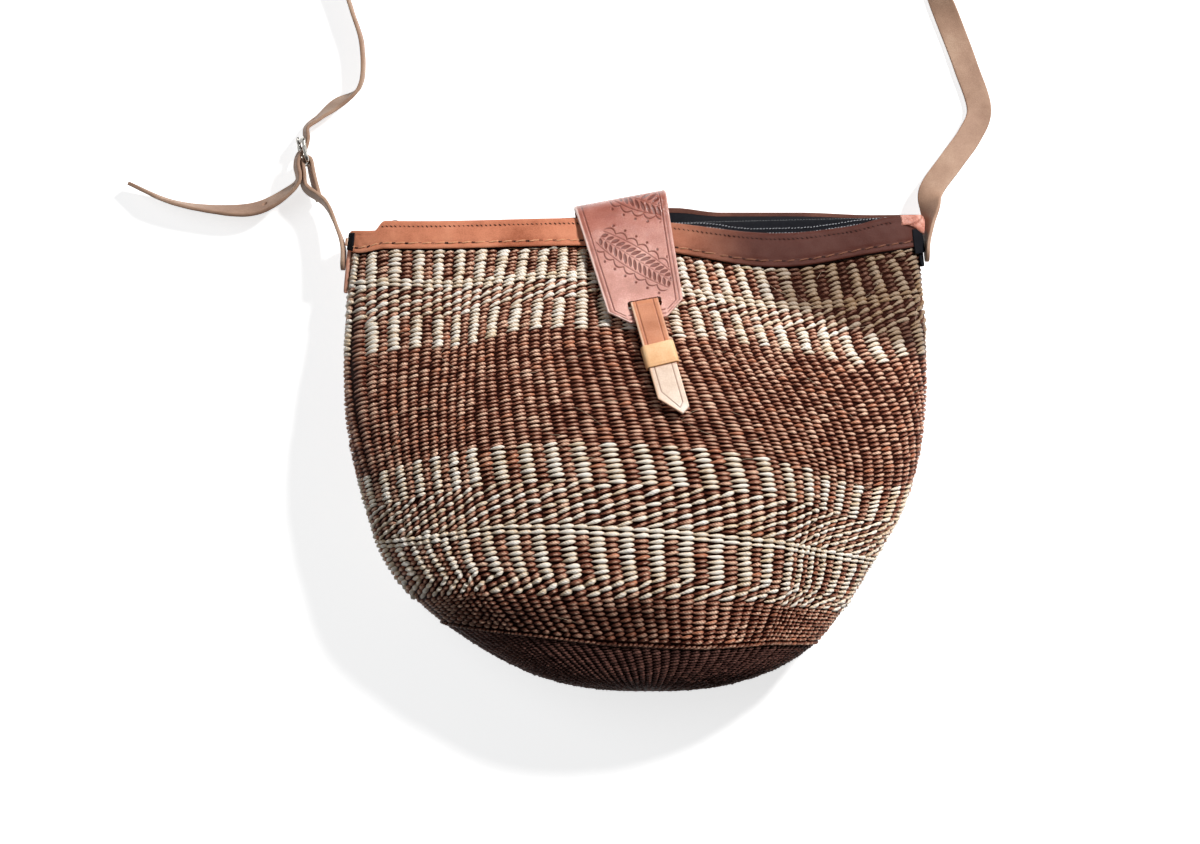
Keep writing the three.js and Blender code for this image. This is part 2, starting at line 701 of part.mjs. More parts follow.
// Long strap: from the right pivot, out past the mouth, round, and back through the buckle to its free tail
const onEdge = strapWidth / 2 + seatGap;
const pivotEnd = (angle) => {
  const { x, y, z } = surface(angle, pivotLevel - strapWidth / 2, strapOut + 0.2);
  return [x, y, z, 90];
};
const longStrap = new Ribbon([
  pivotEnd(0),
  [rightPivot.x + 0.8, rightPivot.y + 6, rightPivot.z, 89],
  [rightPivot.x + 2, mouthY, rightPivot.z - 2.3, 84],
  [rightPivot.x + 2.4, mouthY + 10, rightPivot.z - 3.8, 62],
  [rightPivot.x + 3.4, mouthY + 20, rightPivot.z - 7.3, 28],
  routePoint(0.551, 0.111, 11, 8),
  routePoint(0.585, 0.158, 6.5, 0),
  routePoint(0.603, 0.201, onEdge - 4.4, 0),
  routePoint(0.58, 0.28, onEdge - 5.4, 0),
  routePoint(0.554, 0.349, onEdge - 5, 8),
  routePoint(0.527, 0.413, onEdge - 2, 35),
  routePoint(0.487, 0.51, onEdge, 80),
  routePoint(0.423, 0.643, onEdge, 90),
  routePoint(0.314, 0.814, onEdge, 90),
  routePoint(0.114, 0.96, onEdge, 90),
  routePoint(-0.129, 0.989, onEdge, 90),
  routePoint(-0.357, 0.886, onEdge, 90),
  routePoint(-0.503, 0.7, onEdge, 90),
  routePoint(-0.534, 0.514, onEdge, 90),
  routePoint(-0.494, 0.377, onEdge, 90),
  routePoint(-0.476, 0.315, onEdge, 90),
  routePoint(-0.481, 0.241, onEdge + 0.4, 96),
  routePoint(-0.522, 0.211, onEdge + 0.8, 120),
  routePoint(-0.549, 0.189, onEdge + 2, 108),
  beside(21, -4.2, -1),
  beside(frameLength, -barRadius - strapThickness / 2 - 0.8, -1),
  beside(frameLength - 5, -0.9, -1),
  beside(frameLength / 2 - 2, 3.4, -1),
  beside(0, 5.6, -1),
  beside(-10, 6.2, -1),
  routePoint(-0.611, 0.053, 12, 116),
  routePoint(-0.662, 0.029, 10, 122),
  routePoint(-0.738, 0.029, onEdge + 1, 108),
  routePoint(-0.813, 0.043, onEdge + 0.6, 96),
  routePoint(-0.883, 0.074, onEdge, 91),
]);

// A hole through a strap, as long as given along it
function strapHole(ribbon, t, length) {
  const { point, along, out } = ribbon.at(t);
  const straight = (length - adjustHole) / 2;
  const shape = new THREE.Shape();
  shape.absarc(0, straight, adjustHole / 2, 0, Math.PI);
  shape.absarc(0, -straight, adjustHole / 2, Math.PI, 2 * Math.PI);
  const tool = new THREE.ExtrudeGeometry(shape, { depth: 10, curveSegments: 6, bevelEnabled: false });
  tool.translate(0, 0, -5);
  return tool.applyMatrix4(new THREE.Matrix4().lookAt(out, vector(0, 0, 0), along).setPosition(point));
}

// The slot where the prong goes through the strap, and an adjusting hole before it and two after it
function longStrapHoles() {
  const { centre } = longStrap;
  const through = inBuckle(frameLength / 2 - 0.4, 1.6);
  const far = (share) => centre.getPointAt(share).distanceTo(through);
  const share = steps(2000, 0.6, 1).reduce((best, other) => (far(other) < far(best) ? other : best));
  const pitch = adjustPitch / centre.getLength();
  return [-1, 0, 1, 2].map((i) => {
    const t = centre.getUtoTmapping(share + i * pitch);
    return strapHole(longStrap, t, i === 0 ? prongHole : adjustHole);
  });
}

add('long_strap', cut(longStrap.solid(4, roundEnd, taperedEnd), ...longStrapHoles()), strapLeather);

// Short strap: from the left pivot to the buckle, round its inner bar, and back along itself
const foldRadius = barRadius + seatGap + strapThickness / 2 + 0.1;
const roundBar = steps(6, 90, -90).map((turn) => {
  const [along, out] = [Math.cos(turn * degree), Math.sin(turn * degree)];
  return beside(foldRadius * along, foldRadius * out, out);
});
const shortStrap = new Ribbon([
  pivotEnd(Math.PI),
  [leftPivot.x - 0.8, leftPivot.y + 6, leftPivot.z - 0.4, 90],
  [leftPivot.x - 4.9, leftPivot.y + 18.5, leftPivot.z - 4.3, 86],
  [leftPivot.x - 12.4, leftPivot.y + 33.5, leftPivot.z - 7.8, 80],
  beside(-14, foldRadius + 0.3, 1),
  beside(-6, foldRadius, 1),
  ...roundBar,
  beside(-6, -foldRadius, -1),
  beside(-returnLength / 2, -foldRadius - 0.4, -1),
  beside(-returnLength, -foldRadius - 1.6, -1),
]);

function shortStrapSolid() {
  const slot = new THREE.BoxGeometry(2 * prongRadius + 1.4, 2 * (foldRadius + strapThickness), 4 * foldRadius);
  slot.translate(0, foldRadius - 0.9, 0);
  return cut(shortStrap.solid(3, roundEnd, squareEnd), slot.applyMatrix4(buckle.matrixWorld));
}

add('short_strap', shortStrapSolid(), strapLeather);

// Tube of a round section through points, closed on itself or capped
function tube(points, radius, sides, closed = false) {
  return loft(points.map((point, i) => {
    const before = points[closed ? (i - 1 + points.length) % points.length : Math.max(i - 1, 0)];
    const after = points[closed ? (i + 1) % points.length : Math.min(i + 1, points.length - 1)];
    const along = after.clone().sub(before).normalize();
    const out = Math.abs(along.z) > 0.9 ? vector(1, 0, 0) : vector(0, 0, 1);
    const side = out.clone().cross(along).normalize();
    const up = along.clone().cross(side);
    return steps(sides, 0, 2 * Math.PI).slice(0, -1).map((turn) => point.clone()
      .addScaledVector(side, radius * Math.cos(turn)).addScaledVector(up, radius * Math.sin(turn)));
  }), closed);
}

// Buckle frame: a rounded rectangle of wire, its sides arched away from the bag
function buckleFrame() {
  const half = frameWidth / 2;
  const corner = 3;
  const arch = (y) => 1.1 * Math.sin((Math.PI * clamp(y, 0, frameLength)) / frameLength);
  const quarter = (x, y, from) => steps(4, from, from + 90).map((turn) => [
    x + corner * Math.cos(turn * degree), y + corner * Math.sin(turn * degree),
  ]);
  const outline = [
    ...quarter(half - corner, corner, -90), [half, frameLength / 2], ...quarter(half - corner, frameLength - corner, 0),
    ...quarter(corner - half, frameLength - corner, 90), [-half, frameLength / 2], ...quarter(corner - half, corner, 180),
  ];
  return tube(outline.map(([x, y]) => vector(x, y, arch(y))), barRadius, 10, true);
}

add('buckle_frame', buckleFrame(), nickel, buckle);

// Prong: an eye round the inner bar and a shank that rests on the outer bar
function buckleProng() {
  const eyeOuter = barRadius + seatGap + 0.9;
  const ring = new THREE.Shape().absarc(0, 0, eyeOuter, 0, 2 * Math.PI);
  ring.holes.push(new THREE.Path().absarc(0, 0, barRadius + seatGap, 0, 2 * Math.PI, true));
  const eye = new THREE.ExtrudeGeometry(ring, { depth: 2 * prongRadius, curveSegments: 10, bevelEnabled: false });
  eye.translate(0, 0, -prongRadius).rotateY(Math.PI / 2);
  const restZ = barRadius + prongRadius + seatGap;
  const shank = tube([
    vector(0, eyeOuter - 0.6, 0), vector(0, frameLength * 0.4, restZ * 0.3), vector(0, frameLength * 0.7, restZ * 0.72),
    vector(0, frameLength, restZ), vector(0, frameLength + 2.2, restZ - 0.5),
  ], prongRadius, 8);
  return join(eye, shank);
}

add('buckle_prong', buckleProng(), nickel, buckle);

export default bag;
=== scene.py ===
"""Looks of the woven bucket bag: twined plant fibre, leather trims, zip, tooled flap and shoulder strap.

Shapes are worked out in millimetres in the part's own frame and turned into metres when a mesh is made.
+X is to the right, +Y towards the mouth and +Z up, out of the surface that the bag lies on.
"""

import math

import bmesh
import bpy
import numpy as np
from mathutils import Matrix, Vector


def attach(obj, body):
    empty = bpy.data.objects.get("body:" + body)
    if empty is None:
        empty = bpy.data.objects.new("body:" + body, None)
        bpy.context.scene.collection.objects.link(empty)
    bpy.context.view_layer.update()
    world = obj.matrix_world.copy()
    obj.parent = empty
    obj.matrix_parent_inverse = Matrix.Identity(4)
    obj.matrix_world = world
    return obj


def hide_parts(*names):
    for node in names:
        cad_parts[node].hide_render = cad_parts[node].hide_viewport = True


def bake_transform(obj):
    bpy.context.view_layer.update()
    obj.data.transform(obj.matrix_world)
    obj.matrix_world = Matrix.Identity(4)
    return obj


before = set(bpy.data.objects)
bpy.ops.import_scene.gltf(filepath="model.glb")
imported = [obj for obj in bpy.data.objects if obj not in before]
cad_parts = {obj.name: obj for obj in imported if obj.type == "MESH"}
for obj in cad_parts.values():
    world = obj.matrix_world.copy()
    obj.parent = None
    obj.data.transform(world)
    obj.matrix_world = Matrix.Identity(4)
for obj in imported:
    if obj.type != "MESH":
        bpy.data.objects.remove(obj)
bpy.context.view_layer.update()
rng = np.random.default_rng(7)

MM = 0.001
DEGREE = math.pi / 180

# Sizes of the basket, as in the part's source
BELLY_WIDTH = 350
BELLY_DEPTH = 90
BELLY_Y = 40
DEEPEST_Y = -20
MOUTH_WIDTH = 338
MOUTH_DEPTH = 31
MOUTH_Y = 130
APEX_Y = -151
MOUTH_LIFT = 9
LIFT_START_Y = 60
DOME_LIFT = 34
DOME_START_Y = -95
PULL_LEFT = 3.8
PULL_LEFT_Y = -74
PULL_RIGHT = 7.5
RIM_BAND_HEIGHT = 17
RIM_LEVEL = 121
BACK_RIM_RISE = 6.5
FRONT_SAG = 9.3
FRONT_SAG_LOW = 13.5
FRONT_SAG_X = 85
FRONT_SAG_SPREAD = 60
FRONT_DENT = 5
FRONT_DENT_X = 122
FRONT_DENT_Y = 98
BAND_BOTTOM = MOUTH_Y - RIM_BAND_HEIGHT

# Sizes of the weave
COLUMNS = 110
WEAVE_GROW = 0.2
SHELL_GROW = -1.6
SHELL_WALL = 1.8


# Small helpers for curves and meshes


def smoothstep(x, low, high):
    t = np.clip((x - low) / (high - low), 0, 1)
    return t * t * (3 - 2 * t)


def lerp(a, b, t):
    return a + (b - a) * t


def unit(vectors):
    return vectors / np.maximum(np.linalg.norm(vectors, axis=-1, keepdims=True), 1e-9)


def varied(count, share):
    """Factors round one, each with its own small difference."""
    return 1 + share * rng.standard_normal(count)


def walked_along(line):
    """Distance from the start of a line to each of its points."""
    return np.concatenate([[0], np.cumsum(np.linalg.norm(np.diff(line, axis=0), axis=1))])


def places_at(line, distances):
    """Places on a line at some distances from its start."""
    walked = walked_along(line)
    return np.stack([np.interp(distances, walked, part) for part in line.T], -1)


def spline(points, t):
    """Places on the centripetal curve through points, with t counted in spans."""
    points = np.asarray(points, float)
    full = np.concatenate([[2 * points[0] - points[1]], points, [2 * points[-1] - points[-2]]])
    i = np.clip(np.floor(t).astype(int), 0, len(points) - 2)
    u = (t - i)[:, None]
    p0, p1, p2, p3 = (full[i + k] for k in range(4))
    d1, d2, d3 = (np.maximum(np.linalg.norm(b - a, axis=1, keepdims=True) ** 0.5, 1e-4)
                  for a, b in ((p0, p1), (p1, p2), (p2, p3)))
    m1 = ((p1 - p0) / d1 - (p2 - p0) / (d1 + d2) + (p2 - p1) / d2) * d2
    m2 = ((p2 - p1) / d2 - (p3 - p1) / (d2 + d3) + (p3 - p2) / d3) * d2
    return ((2 * u**3 - 3 * u**2 + 1) * p1 + (u**3 - 2 * u**2 + u) * m1
            + (3 * u**2 - 2 * u**3) * p2 + (u**3 - u**2) * m2)


def fine_spline(points):
    """Places on the curve through points, 40 to a span, and their t."""
    spans = len(points) - 1
    t = np.linspace(0, spans, 40 * spans + 1)
    return spline(points, t), t


def smooth_line(points, count):
    """Evenly spaced places on the curve through points."""
    line = fine_spline(points)[0]
    return places_at(line, np.linspace(0, walked_along(line)[-1], count))


def add_object(name, data):
    holder = bpy.data.objects.new(name, data)
    bpy.context.scene.collection.objects.link(holder)
    return holder


def make_mesh(name, points, faces):
    """A mesh from points in millimetres and faces of three or four corners, where a triangle ends with -1."""
    mesh = bpy.data.meshes.new(name)
    faces = np.asarray(faces)
    mesh.vertices.add(len(points))
    mesh.vertices.foreach_set("co", (np.asarray(points, float) * MM).ravel())
    sizes = np.where(faces[:, -1] < 0, faces.shape[1] - 1, faces.shape[1])
    corners = faces[faces >= 0]
    mesh.loops.add(len(corners))
    mesh.loops.foreach_set("vertex_index", corners)
    mesh.polygons.add(len(faces))
    mesh.polygons.foreach_set("loop_start", np.concatenate([[0], np.cumsum(sizes)[:-1]]))
    mesh.polygons.foreach_set("loop_total", sizes)
    mesh.update(calc_edges=True)
    mesh.validate()
    return mesh, corners


def make_piece(name, shape, material, slot, replaces=(), body="bag", uvs=None):
    """An object from points and faces. uvs gives layers by name, each with one pair for every point."""
    mesh, corners = make_mesh(name, *shape)
    mesh.polygons.foreach_set("use_smooth", np.full(len(mesh.polygons), True))
    for layer, pairs in (uvs or {}).items():
        data = mesh.uv_layers.new(name=layer).data
        data.foreach_set("uv", np.asarray(pairs, float)[corners].ravel())
    mesh.materials.append(material)
    piece = add_object(name, mesh)
    if body:
        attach(piece, body)
    if replaces:
        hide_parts(*replaces)
    return piece


def loft(rings, closed=False):
    """Points and faces of a solid through rings: capped at both ends, or closed on itself."""
    rings = np.asarray(rings, float)
    count, size, _ = rings.shape
    points = rings.reshape(-1, 3)
    i, j = np.meshgrid(np.arange(count if closed else count - 1) * size, np.arange(size), indexing="ij")
    k, above = (j + 1) % size, (i + size) % (count * size)
    faces = np.stack([i + j, i + k, above + k, above + j], -1).reshape(-1, 4)
    if closed:
        return points, faces
    j, k, gap = j[0], k[0], np.full(size, -1)
    end = count * size
    low = np.stack([end + 0 * j, k, j, gap], -1)
    high = np.stack([end + 1 + 0 * j, end - size + j, end - size + k, gap], -1)
    return np.concatenate([points, rings[:1].mean(1), rings[-1:].mean(1)]), np.concatenate([faces, low, high])


def merge(parts):
    """One set of points and faces from several."""
    points, faces = zip(*parts)
    starts = np.cumsum([0] + [len(some) for some in points])
    faces = [np.where(some < 0, -1, some + start) for some, start in zip(faces, starts)]
    return np.concatenate(points), np.concatenate(faces)


def tube(points, radius, sides, closed=False):
    """A tube along points; radius may be one number or one for each point."""
    points = np.asarray(points, float)
    if closed:
        along = unit(np.roll(points, -1, 0) - np.roll(points, 1, 0))
    else:
        along = unit(np.gradient(points, axis=0))
    hint = np.where(np.abs(along[:, 2:3]) > 0.9, [[1.0, 0, 0]], [[0, 0, 1.0]])
    side = unit(np.cross(hint, along))
    up = np.cross(along, side)
    turn = np.arange(sides) * 2 * math.pi / sides
    radius = np.broadcast_to(radius, len(points))[:, None, None]
    ring = side[:, None] * np.cos(turn)[None, :, None] + up[:, None] * np.sin(turn)[None, :, None]
    return loft(points[:, None] + radius * ring, closed)


def rounded_ring(half_x, half_y, corner, count):
    """Outline of a rectangle with rounded corners, count points to each."""
    turn = np.linspace(0, 90, count) * DEGREE
    ring = []
    for sx, sy, start in ((1, 1, 0), (-1, 1, 90), (-1, -1, 180), (1, -1, 270)):
        bow = turn + start * DEGREE
        ring.append(np.stack([sx * (half_x - corner) + corner * np.cos(bow),
                              sy * (half_y - corner) + corner * np.sin(bow)], -1))
    return np.concatenate(ring)


def at_height(ring, z):
    return np.column_stack([ring, np.full(len(ring), z)])


# The basket's surface, by the part's own formulas


BACK_POWER = 0.55


def fall(level):
    return np.clip((BELLY_Y - level) / (BELLY_Y - APEX_Y), 0, 1)


def half_width(level):
    rise = np.clip((level - BELLY_Y) / (MOUTH_Y - BELLY_Y), 0, 2)
    upper = (BELLY_WIDTH - (BELLY_WIDTH - MOUTH_WIDTH) * rise**2) / 2
    lower = BELLY_WIDTH / 2 * (1 - fall(level) ** 2) ** 0.415
    return np.where(level > BELLY_Y, upper, lower)


def depth(level):
    low = np.clip((DEEPEST_Y - level) / (DEEPEST_Y - APEX_Y), 0, 1)
    down = (MOUTH_Y - level) / (MOUTH_Y - DEEPEST_Y)
    upper = MOUTH_DEPTH + (BELLY_DEPTH - MOUTH_DEPTH) * np.sin(down * np.pi / 2)
    return np.where(level < DEEPEST_Y, BELLY_DEPTH * (1 - low**3.4) ** 0.45, upper)


def lift(level):
    mouth = MOUTH_LIFT * np.maximum((level - LIFT_START_Y) / (MOUTH_Y - LIFT_START_Y), 0) ** 1.5
    dome = DOME_LIFT * np.maximum((DOME_START_Y - level) / (DOME_START_Y - APEX_Y), 0) ** 2.5
    return mouth + dome


def sway(level):
    left = PULL_LEFT * np.exp(-(((level - PULL_LEFT_Y) / 24) ** 2))
    return PULL_RIGHT * smoothstep(-level, 95, 138) - left


def wave(x, front, level):
    """How far the rows run up or down from their level: the front sags to the right of the flap."""
    down = smoothstep(MOUTH_Y - level, 0, RIM_BAND_HEIGHT)
    sag = lerp(FRONT_SAG, FRONT_SAG_LOW, down) * np.exp(-(((x - FRONT_SAG_X) / FRONT_SAG_SPREAD) ** 2))
    half_mouth = MOUTH_WIDTH / 2
    left_drop = 5 * smoothstep(-x, half_mouth - 20, half_mouth)
    right_rise = (3 - 3.5 * down) * smoothstep(x, half_mouth - 40, half_mouth - 15)
    return lerp(BACK_RIM_RISE, 2.3 - sag - left_drop + right_rise, front) * smoothstep(level, -40, MOUTH_Y)


def surface(angle, level, grow=0.0):
    """A point of the surface, grown outwards: angle 0 is the right side and a quarter turn the front."""
    cos, sin = np.cos(angle), np.sin(angle)
    base = lift(level) - grow
    height = depth(level) + 2 * grow
    middle = 0.42 * height
    half = half_width(level) + grow
    faces_up = sin >= 0
    x = half * np.where(faces_up, cos, np.sign(cos) * np.abs(cos) ** BACK_POWER)
    above = base + middle + (height - middle) * np.maximum(sin, 0) ** 0.9
    below = base + np.maximum(middle * (1 - 1.12 * np.abs(sin) ** BACK_POWER), 0)
    z = np.where(faces_up, above, below)
    front = smoothstep(z, base, base + height)
    dent = FRONT_DENT * np.exp(-(((x - FRONT_DENT_X) / 38) ** 2) - ((level - FRONT_DENT_Y) / 22) ** 2)
    return np.stack(np.broadcast_arrays(x + sway(level), level + wave(x, front, level), z - dent * front), -1)


def angle_at(x, level, side, grow=0.0):
    """The surface's angle at a distance across the bag, on its front or its back."""
    share = np.clip(x / (half_width(level) + grow), -1, 1)
    if side > 0:
        return np.arccos(share)
    return 2 * math.pi - np.arccos(np.sign(share) * np.abs(share) ** (1 / BACK_POWER))


def front_height(x, y):
    """Height of the front surface over a point of the plan."""
    level = y
    for _ in range(8):
        level = y - wave(x, 1, level)
    return surface(angle_at(x, level, 1), level)[..., 2]


# Materials


def linear(colour):
    """Scene colour of an sRGB colour given from 0 to 255."""
    return tuple((c / 255 / 12.92) if c <= 10 else ((c / 255 + 0.055) / 1.055) ** 2.4 for c in colour)


def add_node(tree, kind, inputs=(), **settings):
    """A shader node with its settings, and its inputs linked to sockets or set to values."""
    node = tree.nodes.new(f"ShaderNode{kind}")
    for name, value in settings.items():
        setattr(node, name, value)
    for key, value in dict(inputs).items():
        if isinstance(value, bpy.types.NodeSocket):
            tree.links.new(value, node.inputs[key])
        else:
            node.inputs[key].default_value = value
    return node


def seen_directly(tree):
    """One for rays from the camera and for mirrored ones, nothing for those that light the scene."""
    rays = add_node(tree, "LightPath").outputs
    inputs = {0: rays["Is Camera Ray"], 1: rays["Is Glossy Ray"]}
    return add_node(tree, "Math", inputs, operation="MAXIMUM").outputs[0]


class Shader:
    """A material whose node tree is built by short calls."""

    def __init__(self, name, roughness, metallic=0.0, specular=0.5):
        self.material = bpy.data.materials.new(name)
        self.material.use_nodes = True
        self.tree = self.material.node_tree
        self.inputs = self.tree.nodes["Principled BSDF"].inputs
        self.inputs["Roughness"].default_value = roughness
        self.inputs["Metallic"].default_value = metallic
        self.inputs["Specular IOR Level"].default_value = specular

    def link(self, socket, value):
        self.tree.links.new(value, self.inputs[socket])

    def add(self, kind, inputs=(), **settings):
        return add_node(self.tree, kind, inputs, **settings)

    def uv(self, layer):
        return self.add("UVMap", uv_map=layer).outputs["UV"]

    def place(self, layer=None, scale=(1, 1, 1)):
        """Coordinates in millimetres: the object's own, or those of a UV layer."""
        if layer is None:
            source = self.add("TexCoord").outputs["Object"]
            scale = tuple(s / MM for s in scale)
        else:
            source = self.uv(layer)
        return self.add("Mapping", {"Vector": source, "Scale": scale}).outputs["Vector"]

    def split(self, vector):
        return self.add("SeparateXYZ", {"Vector": vector}).outputs

    def noise(self, vector, scale, detail=3.0, rough=0.55):
        inputs = {"Vector": vector, "Scale": scale, "Detail": detail, "Roughness": rough}
        return self.add("TexNoise", inputs).outputs["Fac"]

    def waves(self, vector, scale, distortion=0.0, direction="DIAGONAL"):
        inputs = {"Vector": vector, "Scale": scale, "Distortion": distortion}
        return self.add("TexWave", inputs, bands_direction=direction).outputs["Fac"]

    def math(self, operation, a, b):
        return self.add("Math", {0: a, 1: b}, operation=operation).outputs[0]

    def total(self, *terms):
        """Sum of values, each times its share."""
        result = 0.0
        for value, share in terms:
            result = self.math("ADD", result, self.math("MULTIPLY", value, share))
        return result

    def remap(self, value, low, high, to_low=0.0, to_high=1.0):
        """A value carried from one range to another, and kept inside it."""
        inputs = {"Value": value, "From Min": low, "From Max": high, "To Min": to_low, "To Max": to_high}
        return self.add("MapRange", inputs).outputs["Result"]

    def ramp(self, value, *stops):
        """A colour or grey ramp: each stop is a place from 0 to 1 and a colour or a number."""
        node = self.add("ValToRGB", {"Fac": value})
        elements = node.color_ramp.elements
        while len(elements) < len(stops):
            elements.new(0.5)
        for element, (place, colour) in zip(elements, stops):
            element.position = place
            element.color = (colour,) * 3 + (1,) if isinstance(colour, float) else (*linear(colour), 1)
        return node.outputs["Color"]

    def mix(self, share, a, b, blend="MIX"):
        a, b = (c if isinstance(c, bpy.types.NodeSocket) else (*linear(c), 1) for c in (a, b))
        return self.add("Mix", {0: share, 6: a, 7: b}, data_type="RGBA", blend_type=blend).outputs[2]

    def bump(self, height, distance, strength):
        """Bump of a height map, in millimetres, on top of the bump that is there."""
        inputs = {"Height": height, "Distance": distance * MM, "Strength": strength}
        if self.inputs["Normal"].is_linked:
            inputs["Normal"] = self.inputs["Normal"].links[0].from_socket
        self.link("Normal", self.add("Bump", inputs).outputs["Normal"])

    def colour(self, value):
        self.link("Base Color", value)

    def roughness(self, value, low, high):
        self.link("Roughness", self.remap(value, 0.0, 1.0, low, high))

    def changed(self, body, far):
        """A colour multiplied by factors past a place along an axis of a UV layer, or of the object."""
        factors, layer, axis, start, end = far
        along = self.split(self.uv(layer) if layer else self.place())[axis]
        moved_on = self.math("MULTIPLY", self.noise(self.place(), 0.05), (end - start) * 0.3)
        left = self.remap(self.math("ADD", along, moved_on), start, end, 1.0, 0.0)
        after = self.add("VectorMath", {0: body, 1: factors}, operation="MULTIPLY").outputs["Vector"]
        return self.mix(self.math("MULTIPLY", left, left), after, body)


def fibre_material(name, deep, dark, middle, light, tint, gloss=0.5, painted_shade=(156, 139, 124)):
    """Twisted plant fibre: strands along each stitch, each stitch in its own tone, and painted crest
    highlights.

    The layer crest tells how far a point stands out of its stitch, which lightens the crests as a painted
    highlight, and how much painted shade the stitch takes: that share of it is multiplied by the colour
    painted_shade.
    """
    s = Shader(name, 0.5, specular=gloss)
    s.inputs["Specular Tint"].default_value = (*linear(light), 1)
    streaks = s.noise(s.place("fibre", (0.35, 3.2, 1)), 1.6, 4)
    twist = s.waves(s.place("fibre"), 0.42, 1.5)
    own = s.split(s.uv("shade"))
    crest = s.split(s.uv("crest"))
    patches = s.noise(s.place(), 0.045, 2)
    # The crest term of tone and the mix towards light on the crests below are painted highlights, not wear.
    tone = s.total((streaks, 0.5), (own["X"], 0.24), (patches, 0.3), (twist, 0.12), (crest["X"], 0.3))
    body = s.ramp(s.math("SUBTRACT", tone, 0.33), (0.16, deep), (0.3, dark), (0.46, middle), (0.66, light))
    body = s.mix(s.ramp(own["Y"], (0.9, 0.0), (0.97, 0.75)), body, tint)
    worn = s.math("MULTIPLY", crest["X"], s.math("ADD", s.math("MULTIPLY", streaks, 0.5), 0.75))
    body = s.mix(s.ramp(worn, (0.74, 0.0), (1.0, 0.85)), body, light)
    # Painted shade: each stitch is multiplied by the colour painted_shade by its share in the layer crest.
    s.colour(s.mix(crest["Y"], body, s.mix(1.0, body, painted_shade, "MULTIPLY")))
    s.roughness(streaks, 0.34, 0.6)
    s.bump(streaks, 0.35, 0.9)
    s.bump(twist, 0.25, 0.6)
    return s.material


def leather_material(name, dark, middle, light, roughness, patch=0.03, marks=None, edges=None, far=None,
                     gloss=0.35):
    """Smooth vegetable-tanned leather: mottled colour, fine pores and slightly polished high spots.

    marks is the colour pressed into tooled lines and edges that of the worn edges. far is a change of colour
    along an axis of a UV layer, or of the object: the factors that multiply the colour, the layer, the axis,
    and the places where it starts and ends.
    """
    s = Shader(name, roughness, specular=gloss)
    place = s.place()
    fine = s.noise(place, 1.3, 3, 0.6)
    pores = s.add("TexVoronoi", {"Vector": place, "Scale": 1.5}, feature="DISTANCE_TO_EDGE").outputs
    tone = s.total((s.noise(place, patch, 4, 0.6), 0.75), (fine, 0.25))
    body = s.ramp(tone, (0.3, dark), (0.5, middle), (0.7, light))
    if far:
        body = s.changed(body, far)
    if marks:
        pressed = s.split(s.uv("marks"))["X"]
        body = s.mix(s.remap(pressed, 0.3, 0.9), body, edges)
        body = s.mix(s.remap(pressed, 0.0, -0.4, 0.0, 0.8), body, marks)
    s.colour(body)
    s.roughness(tone, roughness + 0.12, roughness - 0.1)
    s.bump(s.remap(pores["Distance"], 0.0, 0.18), 0.16, 0.35)
    s.bump(fine, 0.12, 0.5)
    return s.material


def thread_material(name, dark, light, far=None):
    """Twisted thread. far is a change of colour, as for leather."""
    s = Shader(name, 0.7, specular=0.15)
    twist = s.waves(s.place(), 0.9, 1.0)
    body = s.ramp(twist, (0.2, dark), (0.8, light))
    s.colour(s.changed(body, far) if far else body)
    s.bump(twist, 0.1, 0.6)
    return s.material


def cloth_material(name, dark, light):
    """Woven zip tape: fine crossing threads."""
    s = Shader(name, 0.85, specular=0.1)
    place = s.place()
    weave = s.math("MULTIPLY", s.waves(place, 0.55, direction="X"), s.waves(place, 0.55, direction="Y"))
    s.colour(s.mix(s.noise(place, 0.5), s.ramp(weave, (0.1, dark), (0.8, light)), light))
    s.bump(weave, 0.15, 0.8)
    return s.material


def metal_material(name, colour, roughness):
    """Nickel plate with fine scratches and dull patches."""
    s = Shader(name, roughness, metallic=1)
    patches = s.noise(s.place(), 0.25, 4)
    s.colour(s.ramp(patches, (0.3, tuple(c * 0.86 for c in colour)), (0.7, colour)))
    s.roughness(patches, roughness - 0.08, roughness + 0.14)
    s.bump(s.noise(s.place(scale=(1, 12, 1)), 1.5, 2), 0.02, 0.4)
    return s.material


def nylon_material(name, dark, light):
    s = Shader(name, 0.35)
    s.colour(s.ramp(s.noise(s.place(), 0.4), (0.3, dark), (0.7, light)))
    s.bump(s.noise(s.place(), 2.0), 0.05, 0.3)
    return s.material


brown_fibre = fibre_material(
    "brown_fibre", (62, 22, 15), (108, 53, 39), (172, 112, 90), (255, 218, 190), (204, 130, 98),
    painted_shade=(116, 100, 98))
cream_fibre = fibre_material(
    "cream_fibre", (180, 148, 116), (238, 214, 184), (255, 244, 228), (255, 250, 243), (234, 208, 172))
base_fibre = fibre_material(
    "base_fibre", (48, 29, 27), (70, 45, 41), (90, 60, 54), (122, 86, 76), (94, 64, 55), 0.3)
# The ground's near-black brown is painted shade in the gaps between the stitches.
painted_shade_ground = fibre_material(
    "painted_shade_ground", (40, 18, 14), (54, 27, 21), (66, 34, 27), (84, 46, 36), (60, 32, 25), 0.05)
stray_fibre = thread_material("stray_fibre", (186, 150, 120), (244, 226, 200))

# The rim is much darker at its right end, a painted shade: no layer but the object's own X, and where it
# changes there
PAINTED_SHADE_PLACE = (None, 0, 14, 94)
rim_leather = leather_material(
    "rim_leather", (166, 94, 66), (214, 136, 104), (236, 164, 130), 0.5,
    far=((0.115, 0.08, 0.095), *PAINTED_SHADE_PLACE), gloss=0.15)
back_leather = leather_material("back_leather", (72, 42, 34), (98, 60, 50), (126, 82, 68), 0.5, gloss=0.15)
tab_leather = leather_material("tab_leather", (112, 60, 50), (194, 126, 108), (248, 204, 190), 0.32, 0.11)
